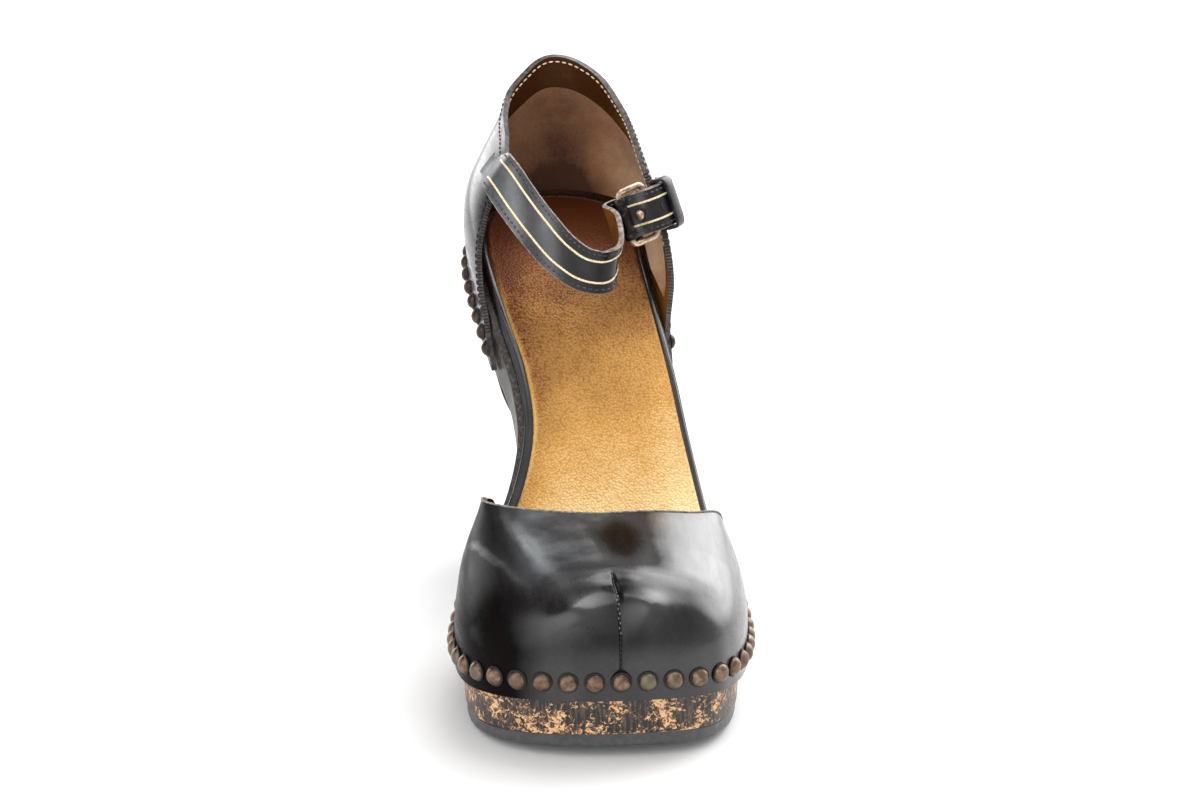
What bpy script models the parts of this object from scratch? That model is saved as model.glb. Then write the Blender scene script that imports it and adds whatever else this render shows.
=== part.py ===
"""Ankle strap heel: a left shoe with a nailed vamp and heel counter on a painted wooden platform.

Shoe coordinates are millimetres: x grows towards the outer side of the foot, s is the
distance back from the toe tip of the wood, z is the height over the floor.
"""

import math

import bmesh
import bpy
import numpy as np
from mathutils import Matrix, Vector

MM = 0.001
GAP = 0.3
LEATHER = 2.0
COVER = GAP + LEATHER

# Origin of the part: middle of the box that the shoe fills, on the floor
X_MID = 0.0
S_MID = 110.0

# Wooden sole
LENGTH = 219.6
STATIONS = 36
TOE_SPRING = 5.0
SPRING_END = 50.0
SPRING_CURVE = 1.8
OUTSOLE_THICK = 4.0
OUTSOLE_INSET = 0.6
OUTSOLE_END = 88.0
OUTSOLE_ROUND = 1.2
PLATFORM_TAPER = 1.0
WOOD_ROUND = 1.0
ARCH_ROUND = 5.0
MOST_ROUND = 0.4
INSOLE_THICK = 3.0
INSOLE_INSET = 2.2
INSOLE_OVERHANG = {"medial": 0.0, "lateral": 1.3}
INSOLE_BEVEL = 1.2
SEAT_THICK = 14.0
WOOD_BELOW_BED = INSOLE_THICK + GAP
NAIL_MARGIN = 13.0

# Outline of the wooden sole seen from above
OUTLINE = np.array(
    [
        (0.0, 1.0, 1.0),
        (1.5, -16.0, 20.5),
        (5.0, -26.8, 29.5),
        (12.0, -36.8, 35.5),
        (22.0, -43.2, 40.0),
        (38.0, -46.3, 43.5),
        (58.0, -45.2, 45.0),
        (78.0, -41.0, 43.9),
        (95.0, -33.5, 40.6),
        (108.0, -26.8, 38.1),
        (122.0, -22.5, 35.4),
        (136.0, -23.5, 33.0),
        (152.0, -28.0, 30.0),
        (170.0, -31.8, 27.4),
        (186.0, -33.0, 26.2),
        (200.0, -31.0, 24.0),
        (211.0, -24.3, 18.2),
        (217.3, -13.8, 8.8),
        (LENGTH, -2.3, -2.3),
    ],
    dtype=[("s", float), ("medial", float), ("lateral", float)],
)

# Height of the top of the insole along the foot
BED = np.array(
    [
        (0.0, 34.5),
        (30.0, 31.0),
        (58.0, 30.0),
        (74.0, 32.3),
        (90.0, 40.8),
        (105.0, 53.0),
        (120.0, 67.0),
        (135.0, 81.5),
        (150.0, 94.5),
        (165.0, 105.0),
        (180.0, 112.5),
        (195.0, 117.5),
        (210.0, 121.0),
        (LENGTH, 122.8),
    ],
    dtype=[("s", float), ("z", float)],
)

# Height of the underside of the wood from the end of the outsole to the heel seat
ARCH = np.array(
    [
        (OUTSOLE_END, 4.3),
        (96.0, 11.5),
        (104.0, 22.0),
        (114.0, 36.5),
        (126.0, 52.0),
        (138.0, 66.0),
        (150.0, 77.2),
    ],
    dtype=[("s", float), ("z", float)],
)

# Heel from the lift (rise 0) to the seat (rise 1)
HEEL_BREAST = 152.0
HEEL_INSET = 0.4
LIFT_THICK = 5.0
HEEL = np.array(
    [
        (0.0, 0.52, 182.0, 213.5),
        (0.25, 0.54, 179.5, 212.6),
        (0.50, 0.62, 174.0, 212.6),
        (0.70, 0.76, 166.5, 214.2),
        (0.86, 0.91, 158.0, 217.0),
        (1.0, 1.0, 0.0, 0.0),
    ],
    dtype=[("rise", float), ("width", float), ("breast", float), ("back", float)],
)

# Vamp: ribs climb from the nailed edge to a spine that runs from the dart to the throat
VAMP_RIBS = 17
VAMP_END = {"medial": 100.0, "lateral": 91.0}
VAMP_ROWS = 9
VAMP_STAND = 0.8
DART_TOP = (20.0, 57.0)
THROAT = (72.0, 56.5)
SPINE_CURVE = 1.6
SHOULDER_TOE = 2.3
SHOULDER_LATE = 3
BOW_LATE = 4
SHOULDER_THROAT = {"medial": 3.6, "lateral": 3.0}
THROAT_BOW = {"medial": (-64.0, -12.0), "lateral": (34.0, -14.0)}

# Counter: how far its outer face stands out from the wood, by height over the insole
COUNTER_CUP = np.array(
    [
        (-14.0, 2.3, 2.3, 2.3),
        (-4.0, 2.4, 2.4, 2.8),
        (6.0, 3.3, 3.8, 5.6),
        (16.0, 1.8, 5.0, 5.0),
        (26.0, -5.6, 4.4, 1.6),
        (35.0, -14.5, 2.6, -2.0),
        (54.0, -27.0, -1.5, -8.0),
    ],
    dtype=[("height", float), ("medial", float), ("back", float), ("lateral", float)],
)

# Counter: height of its top edge over the insole, from the wing tips to the back
COUNTER_EDGE = {
    "medial": np.array(
        [
            (149.0, -12.0),
            (155.0, -6.0),
            (158.0, 0.5),
            (161.0, 8.5),
            (164.5, 15.5),
            (168.5, 21.5),
            (173.0, 27.0),
            (179.0, 33.0),
            (190.0, 35.8),
            (200.0, 37.3),
            (206.0, 39.3),
            (212.0, 43.0),
            (217.0, 47.4),
            (LENGTH, 50.0),
        ],
        dtype=[("s", float), ("height", float)],
    ),
    "lateral": np.array(
        [
            (149.0, -12.0),
            (153.0, -5.0),
            (157.0, 2.0),
            (161.0, 8.5),
            (165.0, 13.0),
            (168.5, 17.0),
            (172.0, 21.5),
            (175.5, 27.5),
            (180.0, 33.0),
            (190.0, 36.3),
            (200.0, 38.0),
            (206.0, 39.8),
            (212.0, 43.0),
            (217.0, 47.4),
            (LENGTH, 50.0),
        ],
        dtype=[("s", float), ("height", float)],
    ),
}
COUNTER_ROWS = 8
WING_END = 176.0

# Dome nails round the edge of the vamp
NAIL_RADIUS = 3.0
NAIL_HEIGHT = 2.2
NAIL_PITCH = 8.4
NAILS_PER_SIDE = 15
NAIL_BELOW_BED = 6.6
NAIL_STEPS = 10
NAIL_REACH = 110.0

# Buckle: its roller bar, the way the strap runs through it, and the way the roller points
BUCKLE_AT = (17.2, 158.0, 130.4)
BUCKLE_RUN = (0.83, 0.53, 0.16)
BUCKLE_UP = (-0.27, 0.20, 0.93)
BAR_RADIUS = 1.1
FRAME_RUN = 10.5
FRAME_HALF = 9.3
FRAME_CORNER = 1.8
ROLLER_RADIUS = 2.1
ROLLER_BORE = 1.5
ROLLER_HALF = 7.4
PRONG_RADIUS = 0.6
PRONG_EYE = BAR_RADIUS + GAP + PRONG_RADIUS
PRONG_TIP = (3.6, 2.6)
PRONG_HOOK = 300.0

# Straps
STRAP_WIDTH = 15.0
STRAP_THICK = 1.8
CHAPE_THICK = 1.2
CHAPE_EYE = BAR_RADIUS + GAP
CHAPE_SLOT = 3.0
STRAP_HOLE = 5.0
EASE = 0.5
STRAP_OVER_HINGE = CHAPE_EYE + CHAPE_THICK + GAP + STRAP_THICK / 2 + EASE
STRAP_UNDER_ROLLER = ROLLER_RADIUS + STRAP_THICK / 2 + EASE
WRAP_RADIUS = 11.5
WRAP_TURN = math.radians(66.0)
CHAPE_TAIL = 9.0
STRAP_TAIL = 13.0
TAIL_TIP = 0.35
KEEPER_AT = 5.2
KEEPER_WIDTH = 4.4
KEEPER_THICK = 1.0

# Strap: the stretch sewn to the outer face of the medial wing, by place and height over the insole
STRAP_SEWN = ((189.0, 27.5), (185.0, 28.5), (181.0, 30.0))

# Strap from the wing to the buckle: its middle line, then the way its width points
STRAP_ROUTE = np.array(
    [
        (-24.6, 172.6, 143.4, 0.58, 0.26, 0.77),
        (-20.0, 163.6, 137.6, 0.57, 0.38, 0.73),
        (-13.0, 153.5, 129.6, 0.52, 0.36, 0.77),
        (-4.5, 144.2, 121.9, 0.36, 0.28, 0.88),
        (2.6, 139.2, 118.6, 0.20, 0.22, 0.95),
        (8.2, 138.2, 118.2, 0.05, 0.20, 0.97),
        (12.0, 141.4, 120.2, -0.10, 0.20, 0.97),
        (13.4, 146.8, 124.0, -0.20, 0.20, 0.95),
        (13.8, 152.0, 127.4, -0.28, 0.20, 0.93),
    ],
    dtype=[(column, float) for column in ("x", "s", "z", "wide_x", "wide_s", "wide_z")],
)
STRAP_STEPS = 44

# Strap through the buckle: distance past the roller bar, and height on the outer side of it
THROUGH_BUCKLE = (
    (-3.0, -STRAP_UNDER_ROLLER - 0.4),
    (0.0, -STRAP_UNDER_ROLLER),
    (3.0, -STRAP_UNDER_ROLLER + 1.5),
    (5.5, 0.0),
    (8.0, STRAP_OVER_HINGE - 1.4),
)

FINISH = {
    "black_leather": ((0.018, 0.017, 0.017), 0.30, 0.0),
    "painted_wood": ((0.045, 0.028, 0.018), 0.45, 0.0),
    "rubber": ((0.030, 0.030, 0.030), 0.75, 0.0),
    "gold_leather": ((0.430, 0.240, 0.070), 0.45, 0.3),
    "antique_brass": ((0.180, 0.095, 0.055), 0.40, 1.0),
}


def clear_scene():
    for obj in list(bpy.data.objects):
        bpy.data.objects.remove(obj, do_unlink=True)


def make_collection(name):
    made = bpy.data.collections.new(name)
    bpy.context.scene.collection.children.link(made)
    return made


def make_material(name, colour, roughness, metallic):
    material = bpy.data.materials.new(name)
    material.use_nodes = True
    shader = material.node_tree.nodes["Principled BSDF"]
    shader.inputs["Base Color"].default_value = (*colour, 1.0)
    shader.inputs["Roughness"].default_value = roughness
    shader.inputs["Metallic"].default_value = metallic
    return material


def smooth(table, column, at, along=None):
    """Cubic curve through one column of a table, read at a value of its first column."""
    knots = table[table.dtype.names[0]] if along is None else along
    values = table[column]
    slopes = np.gradient(values, knots)
    left = int(np.clip(np.searchsorted(knots, at) - 1, 0, len(knots) - 2))
    step = knots[left + 1] - knots[left]
    t = (at - knots[left]) / step
    start = (1 + 2 * t) * (1 - t) ** 2 * values[left] + t * (1 - t) ** 2 * step * slopes[left]
    end = t**2 * (3 - 2 * t) * values[left + 1] - t**2 * (1 - t) * step * slopes[left + 1]
    return float(start + end)


def bed(s):
    return smooth(BED, "z", min(max(s, 0.0), LENGTH))


def tread(s):
    """Height of the underside of the outsole: flat at the ball, sprung at the toe."""
    return TOE_SPRING * max(1.0 - max(s, 0.0) / SPRING_END, 0.0) ** SPRING_CURVE


def underside(s):
    """Height of the underside of the wood: platform, arch, then a seat of even thickness."""
    seat = bed(s) - WOOD_BELOW_BED - SEAT_THICK
    if s < OUTSOLE_END:
        return tread(s) + OUTSOLE_THICK + GAP
    if s < ARCH["s"][-1]:
        return min(smooth(ARCH, "z", s), seat)
    return seat


def turn_at(s):
    """Angle round the long outline whose point lies at s, 0 at the toe and pi at the heel."""
    return math.acos(1.0 - 2.0 * s / LENGTH)


OUTLINE_TURN = np.array([turn_at(s) for s in OUTLINE["s"]])
STATION_TURN = [math.pi * i / STATIONS for i in range(STATIONS + 1)]


def outline_x(turn, side):
    return smooth(OUTLINE, side, turn, OUTLINE_TURN)


def edge(turn, side, out=0.0):
    """Point (x, s) on the outline of the wood moved outwards, and the outward direction there."""
    small = 1e-3
    before = max(turn - small, 0.0)
    after = min(turn + small, math.pi)
    run_x = outline_x(after, side) - outline_x(before, side)
    run_s = LENGTH / 2 * (math.cos(before) - math.cos(after))
    if turn in (0.0, math.pi):
        run_s = 0.0
    normal = np.array((-run_s, run_x) if side == "medial" else (run_s, -run_x))
    normal = normal / np.linalg.norm(normal)
    place = np.array((outline_x(turn, side), LENGTH / 2 * (1.0 - math.cos(turn))))
    return place + out * normal, normal


def to_part(point):
    x, s, z = point
    return Vector(((x - X_MID) * MM, (s - S_MID) * MM, z * MM))


def finish_mesh(bm, name, material, collection, weld=True):
    if weld:
        bmesh.ops.remove_doubles(bm, verts=bm.verts, dist=1e-6)
    mesh = bpy.data.meshes.new(name)
    bm.to_mesh(mesh)
    bm.free()
    mesh.materials.append(material)
    mesh.shade_smooth()
    mesh.set_sharp_from_angle(angle=math.radians(40.0))
    obj = bpy.data.objects.new(name, mesh)
    collection.objects.link(obj)
    return obj


def loft(name, rings, material, collection, capped=(False, False)):
    """Closed solid through rings with equal numbers of points; an end without a cap closes to a line."""
    bm = bmesh.new()
    loops = [[bm.verts.new(to_part(point)) for point in ring] for ring in rings]
    for near, far in zip(loops, loops[1:]):
        for k in range(len(near)):
            bm.faces.new((near[k - 1], near[k], far[k], far[k - 1]))
    if capped[0]:
        bm.faces.new(loops[0][::-1])
    if capped[1]:
        bm.faces.new(loops[-1])
    bmesh.ops.remove_doubles(bm, verts=bm.verts, dist=1e-6)
    bmesh.ops.recalc_face_normals(bm, faces=bm.faces)
    return finish_mesh(bm, name, material, collection)


def block_section(turn, out, taper, top, bottom, corner):
    """Ring across a sole layer: flat top, straight sides, rounded lower corners."""
    (medial_x, medial_s), _ = edge(turn, "medial", out)
    (lateral_x, lateral_s), _ = edge(turn, "lateral", out)
    half = (lateral_x - medial_x) / 2
    corner = min(corner, MOST_ROUND * half)
    taper = min(taper, MOST_ROUND * half)
    ring = [(medial_x, medial_s, top(medial_s)), (lateral_x, lateral_s, top(lateral_s))]
    arc = [corner * (1 - math.cos(a)) for a in (0.0, math.pi / 4, math.pi / 2)]
    for inward, upward in zip(arc, arc[::-1]):
        ring.append((lateral_x - taper - inward, lateral_s, bottom(lateral_s) + upward))
    for inward, upward in zip(arc[::-1], arc):
        ring.append((medial_x + taper + inward, medial_s, bottom(medial_s) + upward))
    return ring


def make_wood_sole(material, collection):
    def wood_top(s):
        return bed(s) - WOOD_BELOW_BED

    rings = []
    for turn in STATION_TURN:
        s = LENGTH / 2 * (1 - math.cos(turn))
        in_arch = OUTSOLE_END < s < HEEL_BREAST
        share = (s - OUTSOLE_END) / (HEEL_BREAST - OUTSOLE_END)
        corner = ARCH_ROUND * math.sin(math.pi * share) if in_arch else 0.0
        taper = PLATFORM_TAPER if s < OUTSOLE_END else 0.0
        rings.append(block_section(turn, 0.0, taper, wood_top, underside, WOOD_ROUND + corner))
    return loft("wood_sole", rings, material, collection)


def make_outsole(material, collection):
    def layer_top(s):
        return tread(s) + OUTSOLE_THICK

    turns = [turn for turn in STATION_TURN if turn < turn_at(OUTSOLE_END) - 0.02]
    turns.append(turn_at(OUTSOLE_END))
    out = -PLATFORM_TAPER - OUTSOLE_INSET
    rings = [block_section(turn, out, 0.0, layer_top, tread, OUTSOLE_ROUND) for turn in turns]
    return loft("outsole", rings, material, collection, capped=(False, True))


def make_insole(material, collection):
    rings = []
    for turn in STATION_TURN:
        waist = math.sin(turn) ** 2
        (medial_x, medial_s), _ = edge(turn, "medial", waist * INSOLE_OVERHANG["medial"] - INSOLE_INSET)
        (lateral_x, lateral_s), _ = edge(turn, "lateral", waist * INSOLE_OVERHANG["lateral"] - INSOLE_INSET)
        bevel = min(INSOLE_BEVEL, MOST_ROUND / 2 * (lateral_x - medial_x))
        medial_top = bed(medial_s)
        lateral_top = bed(lateral_s)
        rings.append(
            [
                (medial_x, medial_s, medial_top - INSOLE_THICK),
                (medial_x, medial_s, medial_top - INSOLE_BEVEL),
                (medial_x + bevel, medial_s, medial_top),
                (lateral_x - bevel, lateral_s, lateral_top),
                (lateral_x, lateral_s, lateral_top - INSOLE_BEVEL),
                (lateral_x, lateral_s, lateral_top - INSOLE_THICK),
            ]
        )
    return loft("insole", rings, material, collection)


def heel_ring(row, pairs=12):
    """Ring round the heel at one rise: medial side to the back, then the lateral side forwards."""
    start = turn_at(HEEL_BREAST)
    seat_back = LENGTH
    seat_mid = (outline_x(start, "medial") + outline_x(start, "lateral")) / 2
    ring = []
    order = [("medial", k) for k in range(pairs + 1)] + [("lateral", k) for k in range(pairs - 1, -1, -1)]
    for side, k in order:
        turn = start + (math.pi - start) * k / pairs
        (x, s), _ = edge(turn, side, -HEEL_INSET)
        seat = underside(s) - GAP
        if row["rise"] < 1.0:
            x = seat_mid + (x - seat_mid) * row["width"]
            share = (s - HEEL_BREAST) / (seat_back - HEEL_BREAST)
            s = row["breast"] + share * (row["back"] - row["breast"])
        ring.append((x, s, LIFT_THICK + GAP + row["rise"] * (seat - LIFT_THICK - GAP)))
    return ring


def heel_block(name, rings, material, collection):
    """Solid through heel rings, closed at both ends by strips across from side to side."""
    bm = bmesh.new()
    loops = [[bm.verts.new(to_part(point)) for point in ring] for ring in rings]
    for near, far in zip(loops, loops[1:]):
        for k in range(len(near)):
            bm.faces.new((near[k - 1], near[k], far[k], far[k - 1]))
    for loop in (loops[0], loops[-1]):
        last = len(loop) - 1
        tip = last // 2
        for k in range(tip - 1):
            bm.faces.new((loop[k], loop[k + 1], loop[last - k - 1], loop[last - k]))
        bm.faces.new((loop[tip - 1], loop[tip], loop[tip + 1]))
    bmesh.ops.recalc_face_normals(bm, faces=bm.faces)
    return finish_mesh(bm, name, material, collection)


def make_heel(material, collection):
    return heel_block("heel", [heel_ring(row) for row in HEEL], material, collection)


def make_heel_lift(material, collection):
    outline = heel_ring(HEEL[0])
    rings = [[(x, s, z) for x, s, _ in outline] for z in (0.0, LIFT_THICK)]
    return heel_block("heel_lift", rings, material, collection)


def vamp_rib(rib_number, side):
    """Points of the outer face of the vamp from its nailed edge up to the spine."""
    share = rib_number / VAMP_RIBS
    turn = turn_at(VAMP_END[side]) * share
    (x, s), _ = edge(turn, side, COVER)
    wood_s = LENGTH / 2 * (1 - math.cos(turn))
    foot = bed(wood_s) - NAIL_MARGIN
    shoulder = bed(wood_s) - WOOD_BELOW_BED + VAMP_STAND
    peak_s = DART_TOP[0] + (THROAT[0] - DART_TOP[0]) * share**SPINE_CURVE
    peak_z = DART_TOP[1] + (THROAT[1] - DART_TOP[1]) * share
    power = 2.0 / (SHOULDER_TOE + (SHOULDER_THROAT[side] - SHOULDER_TOE) * share**SHOULDER_LATE)
    bow_x, bow_s = (amount * share**BOW_LATE for amount in THROAT_BOW[side])
    rib = [(x, s, foot)]
    for row in range(VAMP_ROWS):
        lean = math.pi / 2 * row / (VAMP_ROWS - 1)
        along = 1.0 - max(math.cos(lean), 0.0) ** power
        up = math.sin(lean) ** power
        if row == VAMP_ROWS - 1:
            along = 1.0
        bow = along * (1.0 - along)
        rib.append(
            (
                x * (1.0 - along) + bow_x * bow,
                s + (peak_s - s) * along + bow_s * bow,
                shoulder + (peak_z - shoulder) * up,
            )
        )
    return rib


def shell(name, bm, thickness, material, collection):
    """Leather wall: an open surface that faces outwards, thickened inwards."""
    obj = finish_mesh(bm, name, material, collection, weld=False)
    wall = obj.modifiers.new("wall", "SOLIDIFY")
    wall.thickness = thickness * MM
    wall.offset = -1.0
    wall.use_even_offset = True
    wall.use_rim = True
    return obj


def make_vamp(material, collection):
    order = [("medial", i) for i in range(VAMP_RIBS, 0, -1)] + [("lateral", i) for i in range(VAMP_RIBS + 1)]
    bm = bmesh.new()
    spine = {}
    columns = []
    for side, number in order:
        rib = vamp_rib(number, side)
        column = [bm.verts.new(to_part(point)) for point in rib[:-1]]
        if number not in spine:
            spine[number] = bm.verts.new(to_part(rib[-1]))
        columns.append(column + [spine[number]])
    for near, far in zip(columns, columns[1:]):
        for k in range(VAMP_ROWS):
            bm.faces.new((near[k], far[k], far[k + 1], near[k + 1]))
    return shell("vamp", bm, LEATHER, material, collection)


def counter_point(turn, side, height):
    """Point of the outer face of the counter at a height over the insole."""
    (x, s), normal = edge(turn, side)
    height = min(max(height, COUNTER_CUP["height"][0]), COUNTER_CUP["height"][-1])
    cup = smooth(COUNTER_CUP, side, height) * normal[0] ** 2
    cup += smooth(COUNTER_CUP, "back", height) * normal[1] ** 2
    return (x + cup * normal[0], s + cup * normal[1], bed(s) + height)


def make_counter(material, collection):
    order = []
    for side in ("medial", "lateral"):
        first = turn_at(COUNTER_EDGE[side]["s"][0])
        turns = [turn for turn in STATION_TURN if turn > first]
        wing = [first + (turns[0] - first) / 2]
        wing += [(a + b) / 2 for a, b in zip(turns, turns[1:]) if b < turn_at(WING_END)]
        turns = sorted([first] + turns + wing)
        order += [(side, turn) for turn in turns] if side == "medial" else [(side, turn) for turn in turns[-2::-1]]
    bm = bmesh.new()
    columns = []
    for side, turn in order:
        s = LENGTH / 2 * (1 - math.cos(turn))
        top = smooth(COUNTER_EDGE[side], "height", s)
        heights = np.linspace(-NAIL_MARGIN, top, COUNTER_ROWS)
        columns.append([bm.verts.new(to_part(counter_point(turn, side, height))) for height in heights])
    for near, far in zip(columns, columns[1:]):
        for k in range(COUNTER_ROWS - 1):
            bm.faces.new((near[k], near[k + 1], far[k + 1], far[k]))
    return shell("counter", bm, LEATHER, material, collection)


def nail_profile():
    """Half outline of a dome nail head, from its crown down to its rim and in to its axis."""
    steps = 4
    arc = [math.pi / 2 * k / steps for k in range(steps + 1)]
    points = [(NAIL_RADIUS * math.sin(a) * MM, 0.0, NAIL_HEIGHT * math.cos(a) * MM) for a in arc]
    points.append((0.0, 0.0, 0.0))
    mesh = bpy.data.meshes.new("nail_profile")
    mesh.from_pydata(points, [(k, k + 1) for k in range(len(points) - 1)], [])
    return mesh


def nail_places():
    """Place and outward direction of each nail, evenly spaced along the vamp from the toe seam."""
    places = []
    for side in ("medial", "lateral"):
        turns = np.linspace(0.0, turn_at(NAIL_REACH), 400)
        points = np.array([edge(turn, side, COVER + GAP)[0] for turn in turns])
        run = np.concatenate(([0.0], np.cumsum(np.linalg.norm(np.diff(points, axis=0), axis=1))))
        for k in range(0 if side == "medial" else 1, NAILS_PER_SIDE + 1):
            turn = float(np.interp(k * NAIL_PITCH, run, turns))
            (x, s), normal = edge(turn, side, COVER + GAP)
            wood_s = LENGTH / 2 * (1 - math.cos(turn))
            places.append((side, k, (x, s, bed(wood_s) - NAIL_BELOW_BED), normal))
    return places


def make_vamp_nails(material, collection):
    profile = nail_profile()
    profile.materials.append(material)
    for side, k, point, normal in nail_places():
        obj = bpy.data.objects.new("nail_toe" if k == 0 else f"nail_{side}_{k:02d}", profile)
        obj.location = to_part(point)
        obj.rotation_mode = "QUATERNION"
        obj.rotation_quaternion = Vector((normal[0], normal[1], 0.0)).to_track_quat("Z", "Y")
        turned = obj.modifiers.new("turned", "SCREW")
        turned.steps = NAIL_STEPS
        turned.render_steps = NAIL_STEPS
        turned.use_merge_vertices = True
        turned.merge_threshold = 0.00001
        turned.use_smooth_shade = True
        collection.objects.link(obj)


def buckle_axes():
    """Unit directions of the buckle: along the strap, up the roller, and outwards."""
    run = Vector(BUCKLE_RUN).normalized()
    up = Vector(BUCKLE_UP)
    up = (up - run * up.dot(run)).normalized()
    return run, up, run.cross(up)


def buckle_point(along, up, out):
    run_axis, up_axis, out_axis = buckle_axes()
    return Vector(BUCKLE_AT) + run_axis * along + up_axis * up + out_axis * out


def buckle_matrix():
    """Turns local X along the strap, local Y up the roller and local Z outwards."""
    run_axis, up_axis, out_axis = buckle_axes()
    turn = Matrix((run_axis, up_axis, out_axis)).transposed().to_4x4()
    return Matrix.Translation(to_part(BUCKLE_AT)) @ turn


def rounded_rectangle(half_a, half_b, corner, steps=4):
    points = []
    for quarter in range(4):
        sign_a = (1, -1, -1, 1)[quarter]
        sign_b = (1, 1, -1, -1)[quarter]
        for k in range(steps + 1):
            angle = math.pi / 2 * (quarter + k / steps)
            points.append(
                (
                    sign_a * (half_a - corner) + corner * math.cos(angle),
                    sign_b * (half_b - corner) + corner * math.sin(angle),
                )
            )
    return points


def poly_curve(name, loops, cyclic=True, dimensions="3D"):
    """Curve object of straight stretches through points in mm."""
    curve = bpy.data.curves.new(name, "CURVE")
    curve.dimensions = dimensions
    for loop in loops:
        spline = curve.splines.new("POLY")
        spline.points.add(len(loop) - 1)
        for spot, point in zip(spline.points, loop):
            place = [value * MM for value in point] + [0.0] * (3 - len(point))
            spot.co = (*place, 1.0)
        spline.use_cyclic_u = cyclic
    return curve


def make_buckle_frame(material, collection):
    loop = [(a + FRAME_RUN / 2, b) for a, b in rounded_rectangle(FRAME_RUN / 2, FRAME_HALF, FRAME_CORNER)]
    curve = poly_curve("buckle_frame", [loop])
    curve.bevel_depth = BAR_RADIUS * MM
    curve.bevel_resolution = 2
    curve.materials.append(material)
    obj = bpy.data.objects.new("buckle_frame", curve)
    obj.matrix_world = buckle_matrix()
    collection.objects.link(obj)
    return obj


def make_buckle_roller(material, collection):
    """Loose tube round the front bar of the frame."""
    outline = [
        (ROLLER_BORE, ROLLER_HALF),
        (ROLLER_RADIUS, ROLLER_HALF),
        (ROLLER_RADIUS, -ROLLER_HALF),
        (ROLLER_BORE, -ROLLER_HALF),
    ]
    mesh = bpy.data.meshes.new("buckle_roller")
    mesh.from_pydata([(r * MM, 0.0, z * MM) for r, z in outline], [(0, 1), (1, 2), (2, 3), (3, 0)], [])
    mesh.materials.append(material)
    obj = bpy.data.objects.new("buckle_roller", mesh)
    obj.matrix_world = buckle_matrix() @ Matrix.Rotation(-math.pi / 2, 4, "X")
    turned = obj.modifiers.new("turned", "SCREW")
    turned.steps = 14
    turned.render_steps = 14
    turned.use_merge_vertices = True
    turned.merge_threshold = 0.00001
    collection.objects.link(obj)
    return obj


def make_buckle_prong(material, collection):
    """Wire that hooks round the hinge bar and rests its tip beside the roller."""
    hook = []
    for k in range(11):
        angle = math.radians(PRONG_HOOK * (k / 10 - 0.5))
        hook.append((FRAME_RUN + PRONG_EYE * math.cos(angle), 0.0, PRONG_EYE * math.sin(angle)))
    tip_along, tip_out = PRONG_TIP
    curve = poly_curve("buckle_prong", [hook + [(tip_along, 0.0, tip_out)]], cyclic=False)
    curve.bevel_depth = PRONG_RADIUS * MM
    curve.bevel_resolution = 2
    curve.use_fill_caps = True
    curve.materials.append(material)
    obj = bpy.data.objects.new("buckle_prong", curve)
    obj.matrix_world = buckle_matrix()
    collection.objects.link(obj)
    return obj


def wrap_path(run, out):
    """Line past the hinge that bends back along the wing: place (along, out) and heading."""
    bend = WRAP_RADIUS * WRAP_TURN
    turned = min(run / WRAP_RADIUS, WRAP_TURN)
    straight = max(run - bend, 0.0)
    radius = WRAP_RADIUS + out
    along = FRAME_RUN + radius * math.sin(turned) + straight * math.cos(turned)
    height = radius * math.cos(turned) - WRAP_RADIUS - straight * math.sin(turned)
    return along, height, turned


def curve_to_mesh(obj, collection):
    """Mesh object with the evaluated shape of a curve object, its caps welded on."""
    mesh = bpy.data.meshes.new_from_object(obj.evaluated_get(bpy.context.evaluated_depsgraph_get()))
    bm = bmesh.new()
    bm.from_mesh(mesh)
    bmesh.ops.remove_doubles(bm, verts=bm.verts, dist=1e-6)
    bmesh.ops.recalc_face_normals(bm, faces=bm.faces)
    bm.to_mesh(mesh)
    bm.free()
    made = bpy.data.objects.new(obj.name, mesh)
    made.matrix_world = obj.matrix_world.copy()
    name = obj.name
    bpy.data.objects.remove(obj, do_unlink=True)
    made.name = name
    collection.objects.link(made)
    return made


def box_cutter(name, size, place, cutters):
    """Box in the buckle's own directions that cuts a slot."""
    bpy.ops.mesh.primitive_cube_add(size=1.0)
    cutter = bpy.context.object
    cutter.name = name
    for collection in list(cutter.users_collection):
        collection.objects.unlink(cutter)
    cutters.objects.link(cutter)
    shape = Matrix.Diagonal((*(value * MM for value in size), 1.0))
    cutter.data.transform(Matrix.Translation([value * MM for value in place]) @ shape)
    cutter.matrix_world = buckle_matrix()
    cutter.hide_render = True
    cutter.display_type = "WIRE"
    return cutter


def cut(obj, cutter):
    slot = obj.modifiers.new("slot", "BOOLEAN")
    slot.operation = "DIFFERENCE"
    slot.object = cutter


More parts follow.
